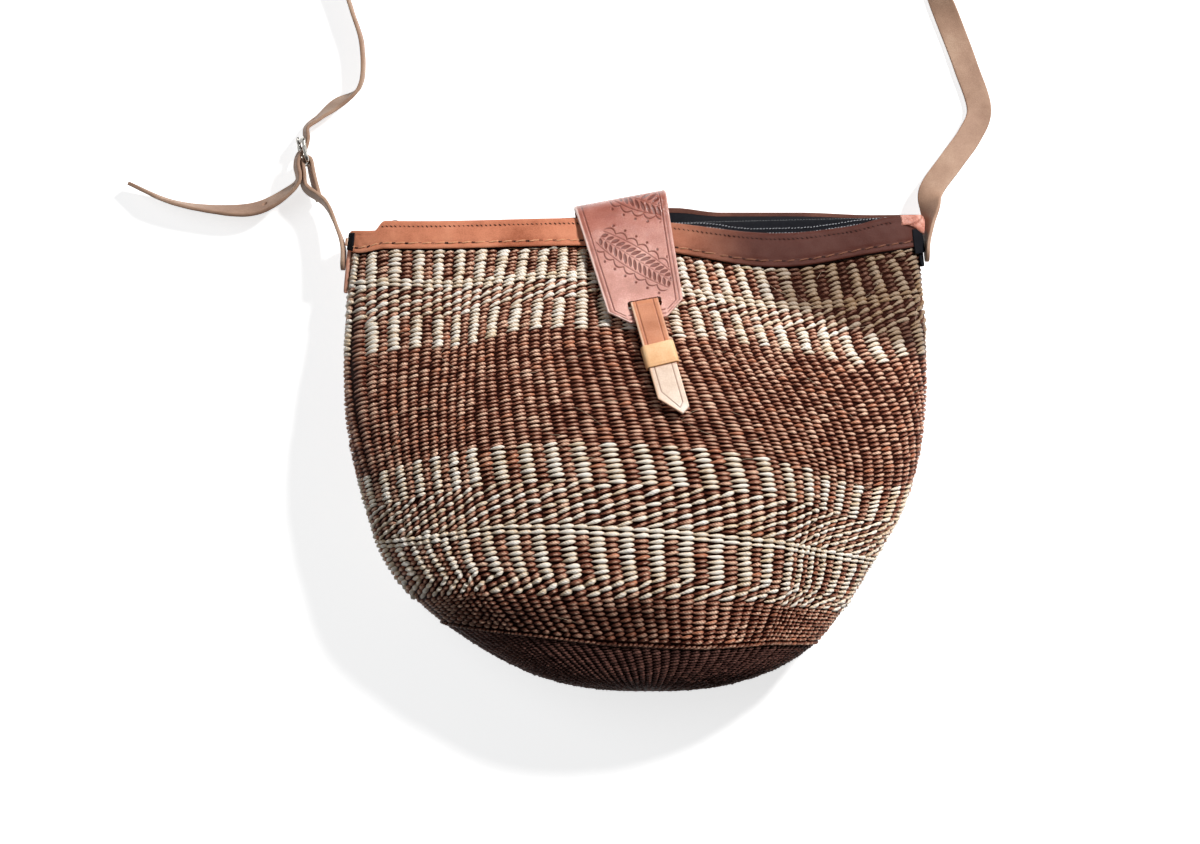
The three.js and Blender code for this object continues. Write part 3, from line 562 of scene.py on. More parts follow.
# The flap lightens towards its end: partly its own tone, partly a painted reflection.
flap_leather = leather_material(
    "flap_leather", (134, 74, 60), (168, 100, 86), (198, 132, 116), 0.24, marks=(104, 50, 42),
    edges=(242, 210, 200), far=((1.66, 2.5, 2.85), "marks", 1, -26, -84), gloss=0.5)
closure_leather = leather_material(
    "closure_leather", (176, 104, 70), (204, 132, 96), (222, 156, 120), 0.38, marks=(128, 68, 48),
    edges=(240, 200, 170), far=((1.5, 3.2, 5.2), "marks", 1, -104, -107))
keeper_leather = leather_material("keeper_leather", (224, 156, 102), (242, 196, 146), (250, 222, 180), 0.42)
strap_leather = leather_material("strap_leather", (146, 112, 92), (174, 140, 118), (200, 170, 146), 0.55)
anchor_leather = leather_material("anchor_leather", (170, 112, 92), (208, 150, 128), (226, 176, 154), 0.5)
pale_leather = leather_material("pale_leather", (206, 160, 136), (232, 196, 172), (246, 220, 200), 0.5)
dark_thread = thread_material("dark_thread", (34, 20, 18), (66, 38, 32))
# The hand stitches darken towards the rim's right end with the rim: painted shade.
pale_thread = thread_material(
    "pale_thread", (206, 138, 98), (240, 190, 150), ((0.3, 0.24, 0.26), *PAINTED_SHADE_PLACE))
grey_thread = thread_material("grey_thread", (120, 122, 128), (196, 198, 204))
black_tape = cloth_material("black_tape", (8, 8, 11), (30, 31, 37))
dark_tape = cloth_material("dark_tape", (20, 12, 11), (44, 28, 25))
zip_nylon = nylon_material("zip_nylon", (30, 34, 38), (56, 62, 68))
nickel = metal_material("nickel_plate", (205, 202, 195), 0.24)


# Camera, lights and floor


CAMERA_HEIGHT = 1530
BAG_MIDDLE = 30
PIXELS_PER_MM = 1.661
PICTURE_WIDTH = 1200
SENSOR = 36
FLOOR_SIZE = 6


def make_camera():
    """The photograph looks straight down at the bag's front from about a metre and a half."""
    camera = bpy.data.cameras.new("camera")
    camera.sensor_width = SENSOR
    camera.lens = SENSOR * PIXELS_PER_MM * (CAMERA_HEIGHT - BAG_MIDDLE) / PICTURE_WIDTH
    camera.clip_end = 20
    holder = add_object("camera", camera)
    holder.location = (-21.2 * MM, 10.1 * MM, CAMERA_HEIGHT * MM)
    bpy.context.scene.camera = holder


def area_light(name, place, target, size, power, colour):
    light = bpy.data.lights.new(name, "AREA")
    light.shape = "DISK"
    light.size, light.energy, light.color = size, power, colour
    holder = add_object(name, light)
    holder.location = place
    holder.rotation_euler = (Vector(target) - Vector(place)).to_track_quat("-Z", "Y").to_euler()


def make_lights():
    """A small lamp from the upper right, a wide weak one from the left, and a pale surrounding."""
    area_light("key", (0.92, 1.0, 1.14), (0.02, 0.03, 0.04), 0.28, 36, (1, 0.985, 0.965))
    area_light("fill", (-1.0, 0.5, 1.5), (0, 0, 0.03), 1.4, 6, (0.95, 0.975, 1))
    world = bpy.data.worlds.new("world")
    world.use_nodes = True
    tree = world.node_tree
    level = add_node(tree, "MapRange", {"Value": seen_directly(tree), "To Min": 0.33, "To Max": 1})
    tree.links.new(level.outputs["Result"], tree.nodes["Background"].inputs["Strength"])
    bpy.context.scene.world = world
    bpy.context.scene.view_settings.view_transform = "Standard"


def make_floor():
    """A white floor just under the bag, whose glow shows in the picture and in reflections alone."""
    mesh = bpy.data.meshes.new("floor")
    corners = [(x * FLOOR_SIZE, y * FLOOR_SIZE, -0.0004) for x, y in ((-1, -1), (1, -1), (1, 1), (-1, 1))]
    mesh.from_pydata(corners, [], [(0, 1, 2, 3)])
    s = Shader("pale_floor", 1, specular=0)
    s.inputs["Base Color"].default_value = (0.9, 0.9, 0.9, 1)
    s.inputs["Emission Color"].default_value = (1, 1, 1, 1)
    s.link("Emission Strength", s.math("MULTIPLY", seen_directly(s.tree), 0.75))
    mesh.materials.append(s.material)
    add_object("floor", mesh)


make_camera()
make_lights()
make_floor()


# The weave: rows as lines over the front, joined straight across the back


TOP_ROW = -3
FIRST_SOLID_ROW = 9
LOW_STRIPES_ROW = 53
LOW_TWILL_ROW = 61
LOW_SOLID_ROW = 69
LAST_STRIPES_END = 78
LAST_TWILL_END = 82
LAST_ROW = 91
RIM_ROW_PITCH = 2.4
KEEPER_PLACE = np.array([17.0, 41, 80])

# Level of some rows at places across the front, from the left edge to the right
ROW_LINES = {
    1: [(-168, 111.5), (60, 112), (130, 110), (168, 109)],
    9: [(-168, 93), (-108, 90.5), (-62, 95.5), (-40, 97), (0, 93), (27, 91), (53, 91), (85, 90), (131, 86),
        (168, 86)],
    53: [(-172, -27), (-161, -24), (-129, -14), (-96, -7), (-65, -4), (-33, -3), (5, -4), (43, -6), (75, -11),
         (100, -17.5), (121, -26), (133, -29), (155, -29.5), (170, -28)],
    69: [(-155, -62), (-115, -56.5), (-80, -51), (-35, -50.5), (25, -54), (80, -59.5), (116, -67),
         (142, -72)],
    82: [(-131, -98), (-118, -95), (-95, -91), (-51, -93), (5, -94.5), (68, -97), (111, -102.5), (125, -106)],
    91: [(-116, -110), (-98, -112), (-63, -115), (-17, -120), (38, -122.5), (81, -120.5), (108, -122)],
}
UPPER_STRIPES_TOP = [(-172, 68), (-117, 70.5), (-74, 77.5), (-35, 83), (48, 80), (81, 75), (120, 66),
                     (148, 64.5), (164, 67)]
UPPER_STRIPES_END = [(-174, 49), (-130, 52.5), (-97, 55), (-74, 61), (-48, 64.5), (-19, 64), (26, 62.5),
                     (54, 63), (80, 60), (102, 55), (123, 47), (138, 44.5), (170, 49)]

# The cream columns lean and spread on their way down: for some levels, how far across the front some of
# them stand, counted in pairs of columns from the left edge at the belly
COLUMN_PLACES = {
    101: [(1, -159), (3, -130), (4, -118), (8, -68), (15, 16), (20, 76), (23, 118), (26, 156)],
    57: [(0, -174), (1, -157.5), (4, -117), (7, -86.5), (10, -47.5), (16, 41), (21, 101), (23, 124),
         (26, 170.5)],
    -19: [(0, -161), (4, -117.5), (6, -95.5), (8, -63), (10, -31.5), (12, 6), (16, 75.5), (18, 100),
          (21, 131), (23, 156.5)],
    -66: [(0, -146.5), (3, -118.5), (5, -97), (8, -53), (12, 14.5), (15, 66), (17, 92.5), (20, 112.5),
          (22, 133)],
    -81: [(0, -138.5), (3, -108.5), (5, -90), (8, -48), (12, 16), (15, 67), (17, 92.5), (20, 112.5),
          (22, 131)],
}


def across_line(line, x, is_front):
    """Level of a line at x: as given on the front, straight from edge to edge on the back."""
    xs, levels = np.array(line, float).T
    share = np.clip((x - xs[0]) / (xs[-1] - xs[0]), 0, 1)
    return np.where(is_front, np.interp(x, xs, levels), lerp(levels[0], levels[-1], share))


def row_level(row, x, is_front):
    knots = sorted(ROW_LINES)
    lines = [across_line(ROW_LINES[k], x, is_front) for k in knots]
    lines.insert(0, lines[0] + (knots[0] - TOP_ROW) * RIM_ROW_PITCH)
    knots.insert(0, TOP_ROW)
    level = np.zeros(np.broadcast(row, x).shape)
    for low, high, a, b in zip(knots, knots[1:], lines, lines[1:]):
        level = np.where((row >= low) & (row <= high), lerp(a, b, (row - low) / (high - low)), level)
    return level


def placed_angles(level, places):
    """Angle of every column at a level: as placed on the front, evenly spaced round the back."""
    pairs, xs = np.array(places, float).T
    half = half_width(level)
    first, last = 2 * pairs[0], 2 * pairs[-1]
    column = np.arange(COLUMNS + 1.0)
    at_front = np.arccos(np.clip(np.interp(column, 2 * pairs, xs) / half, -1, 1))
    turn = np.linspace(np.arccos(xs[-1] / half), np.arccos(xs[0] / half) - 2 * math.pi, 900)
    walked = walked_along(surface(turn, level))
    on = np.where(column < first, column + COLUMNS, column)
    behind = np.interp((on - last) / (COLUMNS + first - last) * walked[-1], walked, turn)
    behind += np.where(column < first, 2 * math.pi, 0)
    return np.where((column >= first) & (column <= last), at_front, behind)


def column_table(ease=6):
    """Angles of the columns for a list of levels, with the leans between the placed levels eased."""
    levels = np.linspace(APEX_Y + 0.2, MOUTH_Y, 240)
    placed = sorted(COLUMN_PLACES)
    angles = np.array([placed_angles(float(k), COLUMN_PLACES[k]) for k in placed])
    above = angles[-1] + (angles[-1] - angles[-2]) * (MOUTH_Y - placed[-1]) / (placed[-1] - placed[-2])
    placed, angles = [*placed, MOUTH_Y], np.concatenate([angles, above[None]])
    table = np.stack([np.interp(levels, placed, one) for one in angles.T], -1)
    table = np.pad(table, ((ease, ease), (0, 0)), mode="edge")
    return levels, np.mean([table[k:k + len(levels)] for k in range(2 * ease + 1)], 0)


TABLE_LEVELS, COLUMN_ANGLES = column_table()


def column_angle(column, level):
    i = (level - TABLE_LEVELS[0]) / (TABLE_LEVELS[1] - TABLE_LEVELS[0])
    i = np.clip(i, 0, len(TABLE_LEVELS) - 1.001)
    j = column % COLUMNS
    i0, j0 = np.floor(i).astype(int), np.floor(j).astype(int)
    low, high = (lerp(COLUMN_ANGLES[k, j0], COLUMN_ANGLES[k, j0 + 1], j - j0) for k in (i0, i0 + 1))
    return lerp(low, high, i - i0)


def weave_point(row, column, grow=WEAVE_GROW):
    """A point of the weave by row and column, with its level and angle."""
    level = 113 - 2.2 * np.asarray(row, float) + 0 * column
    for _ in range(9):
        angle = column_angle(column, level)
        level = row_level(row, surface(angle, level)[..., 0], np.sin(angle) >= 0)
    angle = column_angle(column, level)
    return surface(angle, level, grow), level, angle


def grain_shape(around=5, fullest=0.22):
    """One stitch as a half-open tube, pointed at both ends and fullest right of its middle.

    Gives along from -1 to 1, up and out in half heights, and the share of the full height.
    """
    along = np.array([-0.84, -0.6, -0.28, 0.08, 0.4, 0.68, 0.88])
    before = np.clip((along + 1) / (fullest + 1), 0, 1) ** 0.72
    after = (1 - np.clip((along - fullest) / (1 - fullest), 0, 1) ** 2.3) ** 0.68
    turn = np.linspace(-112, 112, around) * DEGREE
    points = [(-1.0, 0.0, 0.0, 0.0)]
    for a, r in zip(along, np.where(along < fullest, before, after)):
        points += [(a, r * math.sin(t), r * math.cos(t), r) for t in turn]
    points.append((1.0, 0.0, 0.0, 0.0))
    faces = [(0, k + 2, k + 1, -1) for k in range(around - 1)]
    rows = [1 + i * around for i in range(len(along))]
    for row in rows[:-1]:
        faces += [(row + k, row + k + 1, row + around + k + 1, row + around + k) for k in range(around - 1)]
    faces += [(rows[-1] + k, rows[-1] + k + 1, len(points) - 1, -1) for k in range(around - 1)]
    return np.array(points), np.array(faces)


GRAIN_POINTS, GRAIN_FACES = grain_shape()


def make_stitches(name, stitches, material, painted_shade, floor=0.05):
    """All stitches of one colour and region as one piece, none of them below the floor.

    stitches holds the place, along, up, out, half length, half height, thickness, slant, dip and
    arch of each. painted_shade tells how much painted shade each one takes.
    """
    place, along, up, out = (part[:, None] for part in stitches[:4])
    length, height, thick, slant, dip, arch = (part[:, None] for part in stitches[4:])
    count = len(place)
    a, b, o, full = GRAIN_POINTS.T
    jitter = varied((count, len(a)), 0.07)
    far = a * length
    rise = b * height * jitter + a * slant + arch * height * full
    stand = o * thick * jitter - dip * np.abs(a) ** 2.4
    points = place + along * far[..., None] + up * rise[..., None] + out * stand[..., None]
    points[..., 2] = np.maximum(points[..., 2], floor)
    faces = np.where(GRAIN_FACES < 0, -1, GRAIN_FACES + (np.arange(count) * len(a))[:, None, None])
    offset = rng.uniform(0, 500, (count, 2))
    fibre = np.stack([far + offset[:, :1], b * height * 1.6 - 0.7 * rise + offset[:, 1:]], -1)
    shade = np.repeat(rng.uniform(0, 1, (count, 1, 2)), len(a), 1)
    crest = np.stack(np.broadcast_arrays(o, (painted_shade + np.zeros(count))[:, None]), -1)
    uvs = {"fibre": fibre.reshape(-1, 2), "shade": shade.reshape(-1, 2), "crest": crest.reshape(-1, 2)}
    make_piece(name, (points.reshape(-1, 3), faces.reshape(-1, 4)), material, "sisal", uvs=uvs)


def stitch_frames(rows, columns):
    """Place, directions and sizes of the stitches at rows and columns, with their levels and angles."""
    place, level, angle = weave_point(rows, columns)
    along = weave_point(rows, columns + 0.5)[0] - weave_point(rows, columns - 0.5)[0]
    above = weave_point(np.maximum(rows - 0.5, TOP_ROW), columns)[0]
    up = above - weave_point(np.minimum(rows + 0.5, LAST_ROW), columns)[0]
    pitch = np.linalg.norm(along, axis=-1)
    gap = np.linalg.norm(up, axis=-1) / np.where((rows == TOP_ROW) | (rows == LAST_ROW), 0.5, 1)
    along, up = unit(along), unit(up)
    return place, along, up, unit(np.cross(along, up)), pitch, gap, level, angle


def is_between(row, low, high):
    return (row >= low) & (row < high)


def colour_zone(row, column, x, level, is_front, solid):
    """Which stitches are cream, and which of them are in slanting twill."""
    even = column % 2 == 0
    cream = (row > 1) & (row < FIRST_SOLID_ROW) & even
    cream |= (row <= 1) & (rng.uniform(0, 1, row.shape) < 0.5)
    below_solid = row > FIRST_SOLID_ROW + 1
    in_middle = below_solid & (level > across_line(UPPER_STRIPES_TOP, x, is_front))
    upper = below_solid & ~in_middle & (level > across_line(UPPER_STRIPES_END, x, is_front))
    lower = is_between(row, LOW_STRIPES_ROW, LOW_TWILL_ROW)
    lower |= is_between(row, LOW_SOLID_ROW + 2, LAST_STRIPES_END)
    twill = in_middle | is_between(row, LOW_TWILL_ROW, LOW_SOLID_ROW)
    twill |= is_between(row, LAST_STRIPES_END, LAST_TWILL_END)
    return cream | solid | ((upper | lower) & even) | (twill & ((column + row) % 2 == 0)), twill


def painted_shade_share(x, y, is_front):
    """How much painted shade the fibre takes: below the rim's right end, and a patch of the lower left."""
    right = smoothstep(x, 62, 96) * smoothstep(y + 0.34 * (x - 100), 68, 80) * is_front
    return np.maximum(right, 0.8 * smoothstep(-y, 84, 104) * smoothstep(-x, -46, 0))


def make_weave():
    rows, columns = np.meshgrid(np.arange(TOP_ROW, LAST_ROW), np.arange(COLUMNS), indexing="ij")
    rows, columns = rows.ravel(), columns.ravel()
    place, along, up, out, pitch, gap, level, angle = stitch_frames(rows.astype(float), columns.astype(float))
    count = len(rows)
    is_front = np.sin(angle) >= 0
    low = rows > 30
    solid = np.isin(rows, (FIRST_SOLID_ROW, FIRST_SOLID_ROW + 1, LOW_SOLID_ROW, LOW_SOLID_ROW + 1))
    cream, twill = colour_zone(rows, columns, place[:, 0], level, is_front, solid)
    size = varied(count, 0.07)
    length = pitch * np.where(cream, np.where(twill, 0.62, 0.66), 0.6) * varied(count, 0.04)
    height = gap * np.where(cream, np.where(low, 0.48, 0.53), 0.46) * size
    thick = gap * np.where(cream, 0.56, 0.46) * size
    slant = gap * np.where(twill, 0.5, np.where(solid, 0.12, 0.24)) * varied(count, 0.3)
    dip = np.where(cream, 1.1, 1.3) + 0.15 * rng.standard_normal(count)
    arch = np.where(low, 0.18, 0.42) * varied(count, 0.3)
    sink = np.where(cream, 0.75, 1.05) + 0.12 * rng.standard_normal(count)
    sink += np.exp(-((place[:, :2] - KEEPER_PLACE[:2]) ** 2).sum(-1) / 180) * is_front
    place = place - out * sink[:, None] + along * 0.25 * rng.standard_normal((count, 1))
    place = place + up * 0.12 * rng.standard_normal((count, 1))
    stitches = (place, along, up, out, length, height, thick, slant, dip, arch)
    # Painted shade on the stitches below the rim's right end and at the lower left.
    painted_shade = painted_shade_share(place[:, 0], place[:, 1], is_front)
    seen = level < BAND_BOTTOM - 0.2
    for colour, material in (("cream", cream_fibre), ("brown", brown_fibre)):
        for side in ("front", "back"):
            pick = (cream == (colour == "cream")) & (is_front == (side == "front")) & seen
            make_stitches(f"weave_{colour}_{side}", [part[pick] for part in stitches], material, painted_shade[pick])


def make_base_weave():
    """The base: rings of stitches that close towards the apex, fewer to a ring as it narrows."""
    parts = []
    for column in range(COLUMNS):
        start = float(weave_point(np.array(float(LAST_ROW)), np.array(float(column)))[1])
        levels = np.linspace(start, APEX_Y + 0.3, 160)
        line, right, left = (surface(column_angle(np.full(160, column + side), levels), levels, WEAVE_GROW)
                             for side in (0.0, 0.5, -0.5))
        walked = walked_along(line)
        count = max(int(walked[-1] / 1.9), 2)
        even = (np.arange(count) + 0.5) * walked[-1] / count
        i = np.clip(np.searchsorted(walked, even), 1, 158)
        pitch = np.linalg.norm(right[i] - left[i], axis=1)
        skip = np.where(pitch > 2.6, 1, np.where(pitch > 1.3, 2, np.where(pitch > 0.65, 4, 8)))
        up, along = unit(line[i - 1] - line[i + 1]), unit(right[i] - left[i])
        ring = line[i], along, up, unit(np.cross(along, up)), pitch * skip
        parts.append([part[column % skip == 0] for part in ring])
    place, along, up, out, pitch = (np.concatenate(part) for part in zip(*parts))
    count = len(place)
    size = varied(count, 0.12)
    place = place - out * (0.95 + 0.1 * rng.standard_normal(count))[:, None]
    dip = 0.9 + 0.12 * rng.standard_normal(count)
    stitches = (place, along, up, out, pitch * 0.56, 0.98 * size, 0.95 * size, 0.5 * size, dip, 0.2 * size)
    make_stitches("weave_base", stitches, base_fibre, 0)


def make_ridge():
    """The twisted cord that stands out where the sides meet the base."""
    columns = np.arange(0, COLUMNS, 0.5)
    place, along, up, out, pitch, *_ = stitch_frames(np.full(len(columns), float(LAST_ROW)), columns)
    size = varied(len(columns), 0.08)
    place = place - out * 0.35 + up * 0.12 * rng.standard_normal((len(columns), 1))
    stitches = (place, along, up, out, pitch * 0.44, 0.9 * size, 1.4 * size, size, 0.5 * size, 0.1 * size)
    # The ridge is darkened by the painted-shade colour: partly its own darker cord, and painted shade that
    # grows towards the left.
    make_stitches("weave_ridge", stitches, brown_fibre, 0.85 - 0.35 * smoothstep(place[:, 0], 0, 60))


def make_stray_fibres(count=170, steps=9):
    """Thin loose fibres that stand off the weave here and there."""
    share = np.linspace(0, 1, steps)[None]
    start = np.stack([rng.uniform(3, 88, count), rng.uniform(0, COLUMNS, count)], -1)
    reach = rng.uniform(0.4, 2.6, count) * np.where(rng.uniform(0, 1, count) < 0.5, -1, 1)
    bend = rng.normal(0, 2.6, (count, 1)) * share**2 + rng.normal(0, 2.2, (count, 1)) * share
    columns = start[:, 1:] + reach[:, None] * share
    off = 0.15 + rng.uniform(0.2, 1.5, (count, 1)) * share ** rng.uniform(0.6, 2, (count, 1))
    lines = weave_point(np.clip(start[:, :1] + bend, 2, 90), columns % COLUMNS, off)[0]
    lines[..., 2] = np.maximum(lines[..., 2], 0.2)
    jump = np.linalg.norm(np.diff(lines, axis=1), axis=-1).max(1)
    to_keeper = np.linalg.norm(lines - KEEPER_PLACE, axis=-1).min(1)
    taper = 0.085 * (1 - 0.6 * share[0] ** 2)
    kept = lines[(jump < 8) & (to_keeper > 24)]
    make_piece("stray_fibres", merge([tube(line, taper, 4) for line in kept]), stray_fibre, "sisal")


def make_shell():
    """The dark ground between the stitches, a double-walled cup that closes over the rim. Its dark colour is
    painted shade for the gaps between the stitches.
    """
    angles = np.linspace(0, 2 * math.pi, 181)[:-1]
    dome = np.linspace(0, 1, 8)[:-1] ** 2 * 26 + APEX_Y + 0.4
    levels = np.concatenate([dome, np.linspace(-124, RIM_LEVEL - 3, 50)])
    outer, inner = (surface(angles[None], levels[:, None], SHELL_GROW - wall) for wall in (0, SHELL_WALL))
    inner[:, :, 1] += (4 * fall(levels) ** 6)[:, None]
    points, faces = loft(np.concatenate([outer, inner[::-1]]))
    uvs = {"fibre": points[:, :2], "shade": np.full((len(points), 2), 0.3), "crest": 0 * points[:, :2]}
    make_piece("weave_ground", (points, faces), painted_shade_ground, "sisal", ("woven_base", "woven_body"), uvs=uvs)


make_weave()
make_base_weave()
make_ridge()
make_stray_fibres()
make_shell()


# Rim bands, corner tabs and strap anchors


BAND_INNER = 0.45
LEATHER = 2
BAND_OUTER = BAND_INNER + LEATHER
FRONT_HANG = 2
BACK_HANG = 4.6
CORNER_TOP = 125.7
CORNER_TAB_WIDTH = 11
SEAT_GAP = 0.3
STRAP_WIDTH = 15
STRAP_THICKNESS = 2.2
ANCHOR_LENGTH = 27
ANCHOR_TOP = BAND_BOTTOM - SEAT_GAP
ANCHOR_OUTER = BAND_INNER + STRAP_THICKNESS

# Sections from the bottom edge, over the outside and down the inside: rise and distance out
BAND_SECTION = [
    (0.0, 1.2), (0.15, 2.2), (0.7, 2.75), (1.6, 2.85), (2.3, 2.7), (2.75, 2.3), (3.3, 2.5), (3.9, 2.15),
    (4.5, 2.5), (6.5, 2.62), (9.0, 2.66), (11.5, 2.6), (12.6, 2.5), (13.3, 2.3), (14.0, 2.5), (15.4, 2.5),
    (16.3, 2.25),
    (16.85, 1.75), (17.0, 1.3), (16.9, 0.8), (16.5, 0.5), (12.0, 0.45), (6.0, 0.45), (1.0, 0.45), (0.2, 0.6),
]
BINDING_SECTION = [(0.0, 0.3), (0.2, 0.6), (0.8, 0.75), (1.6, 0.7), (2.0, 0.4), (1.4, 0.05), (0.4, 0.0)]
TAB_SECTION = [
    (0.0, 3.4), (0.2, 4.4), (0.9, 4.95), (2.4, 5.1), (4.0, 5.15), (5.5, 5.15), (7.0, 5.13), (8.2, 5.1),
    (9.8, 4.9), (10.7, 4.4), (11.0, 3.7), (10.7, 3.1), (9.5, 2.9), (5.5, 2.9), (1.5, 2.9), (0.3, 3.0),
]
ANCHOR_RISES = np.array([0, 0.25, 0.9, 3, 7, 12, 18, 23, 26.1, 26.75, 27, 26.6, 20, 10, 1, 0.2])
ANCHOR_OUTS = np.array([1.4, 2.2, 2.6, *[2.65] * 5, 2.6, 2.2, 1.5, 0.6, 0.45, 0.45, 0.45, 0.6])

# Creases of the right tab: turn in degrees, lean, width and height
TAB_CREASES = ((14, 1.1, 1.3, 1.1), (9.5, 1.7, 1.0, -1.5), (4, 0.7, 1.5, 0.9), (-4, 0.8, 1.8, -0.7),
               (18, 1.3, 0.9, -0.9), (-13, -0.7, 2.5, 0.7))


def surface_piece(name, angles, section, bottom, material, slot, replaces=(), out_change=None,
                  rise_change=None):
    """A slab on the basket's surface, with its section given as rises above bottom and distances out."""
    turn = angles[:, None]
    rises, outs = np.array(section, float).T[:, None]
    grown = outs + (out_change(turn, rises) if out_change else 0)
    raised = rises + (rise_change(turn, rises) if rise_change else 0)
    make_piece(name, loft(surface(turn, bottom + raised, grown)), material, slot, replaces)


def band_hang(angle, rise):
    """How far the band stands above its place: it hangs lower on the left, and is cut down at that corner."""
    x = surface(angle, BAND_BOTTOM + rise)[..., 0]
    front = np.sin(angle) >= 0
    front_hang = -FRONT_HANG * smoothstep(-x, 20, 130)
    back_hang = -BACK_HANG * smoothstep(-x, -10, 120)
    top = surface(angle, MOUTH_Y + np.where(front, front_hang, back_hang))[..., 1]
    cut = np.maximum(top - CORNER_TOP, 0) * smoothstep(-x, 149.5, 154.5)
    lifted = (1.6 * (1 - smoothstep(x, 100, 146)) + 2.8 * (1 - smoothstep(x, 24, 52))) * smoothstep(x, 0, 18)
    hang = np.where(front, front_hang, back_hang * np.clip(rise, 0, RIM_BAND_HEIGHT) / RIM_BAND_HEIGHT)
    return hang + (lifted * ~front - cut) * np.clip((rise - 5) / 12, 0, 1)


def band_places(start, pitch, rise, out, skip=3.0):
    """Places at an even pitch along one half of the rim: points, and directions along, up and out."""
    def at(angles, more=0.0):
        return surface(angles, BAND_BOTTOM + rise + more + band_hang(angles, rise), out)

    angles = np.linspace(start + 0.01, start + math.pi - 0.01, 900)
    walked = walked_along(at(angles))
    places = np.interp(np.arange(skip, walked[-1] - skip, pitch), walked, angles)
    step = 0.004
    along = unit(at(places + step) - at(places - step))
    up = unit(at(places, 1) - at(places, -1))
    return at(places), along, up, unit(np.cross(up, along))


def stitch_row(places, half, radius, slant, arch, sink):
    """Sewn stitches as short arched threads, each with its own small difference."""
    share = np.linspace(-1, 1, 7)[:, None]
    swell = radius * (1 - 0.55 * np.abs(share[:, 0]) ** 3)
    parts = []
    for point, along, up, out in zip(*places):
        line = point + along * share * half * varied(None, 0.1) + up * share * slant * varied(None, 0.15)
        line = line + out * (arch * (1 - share**2) - sink) + along * 0.1 * rng.standard_normal()
        parts.append(tube(line, swell, 6))
    return merge(parts)


def hole_row(places, radius, stretch):
    """Small dark dimples where a needle went in: shallow cones on short plugs."""
    turn = np.arange(10)[:, None] * 36 * DEGREE
    k = np.arange(10)
    after, centre = (k + 1) % 10, 0 * k
    top = centre, 1 + k, 1 + after, centre - 1
    bottom = centre + 11, 12 + after, 12 + k, centre - 1
    sides = 1 + k, 12 + k, 12 + after, 1 + after
    faces = np.concatenate([np.stack(corners, -1) for corners in (top, bottom, sides)])
    parts = []
    for point, along, up, out in zip(*places):
        ring = point + out * 0.03 + radius * (along * np.cos(turn) * stretch + up * np.sin(turn))
        points = np.concatenate([[point - out * 0.09], ring, [point - out * 0.5], ring - out * 0.5])
        parts.append((points, faces))
    return merge(parts)


def rim_swell(angles, rises):
    """The band isn't quite even: it swells and dips a little along its length."""
    swell = 0.12 * np.sin(angles * 23 + rises) + 0.1 * np.sin(angles * 61 - rises * 0.6)
    return swell * (rises > 2) * (rises < 16)


def make_rim():
    for name, start, leather in (("rim_front", 0.0, rim_leather), ("rim_back", math.pi, back_leather)):
        corner = 0.35 * DEGREE
        angles = np.linspace(start + corner, start + math.pi - corner, 300)
        surface_piece(name, angles, BAND_SECTION, BAND_BOTTOM, leather, "rim_leather",
                      (name.replace("rim", "rim_band"),), rim_swell, band_hang)
        machine = band_places(start, 2.75, 13.6, 2.42)
        machine = [part[np.abs(machine[0][:, 0] - 2) < 154] for part in machine]
        sewn = band_places(start, 8.1, 3.4, 2.5, 6)
        holes = [hole_row((sewn[0] + side * sewn[1], *sewn[1:]), 0.55, 1.25) for side in (3.55, -3.55)]
        for kind, shape, thread in (
                ("machine_stitches", stitch_row(machine, 0.72, 0.3, 0.5, 0.12, 0.06), dark_thread),
                ("hand_stitches", stitch_row(sewn, 2.9, 0.42, -0.45, 0.42, 0.1), pale_thread),
                ("holes", merge(holes), dark_thread)):
            make_piece(f"{name}_{kind}", shape, thread, "rim_leather")
        # The dark strip under the band's lower edge is partly cloth binding and partly painted shade under
        # the band.
        surface_piece(f"{name}_binding", angles, BINDING_SECTION, BAND_BOTTOM - 0.9, dark_tape, "zip_tape",
                      rise_change=band_hang)


def wrap_section(height, inner, outer):
    """Section of a thin piece wrapped round a corner, with rounded edges."""
    edge = min(0.6, height / 3)
    return [(0.0, inner + 0.2), (0.1, outer - 0.3), (edge, outer), (height / 3, outer),
            (2 * height / 3, outer), (height - edge, outer), (height - 0.1, outer - 0.3),
            (height, inner + 0.2), (height / 2, inner)]


def crumple(angles, rises):
    """The right tab is a crumpled fold that thins towards its ends."""
    turn = angles / DEGREE
    change = -1.5 * smoothstep(turn, 18.5, 21.5) - 1.5 * smoothstep(-turn, 20, 24)
    for middle, lean, width, height in TAB_CREASES:
        change = change + height * np.exp(-(((turn - middle + lean * (rises - 5.5)) / width) ** 2))
    return change * (np.array(TAB_SECTION)[:, 1] > 3.2)


def climb(angles, rises):
    """The right tab's lower edge rises towards its front end."""
    return ((CORNER_TAB_WIDTH - rises) * 0.5 + 0.4) * smoothstep(angles / DEGREE, 2, 21.5)


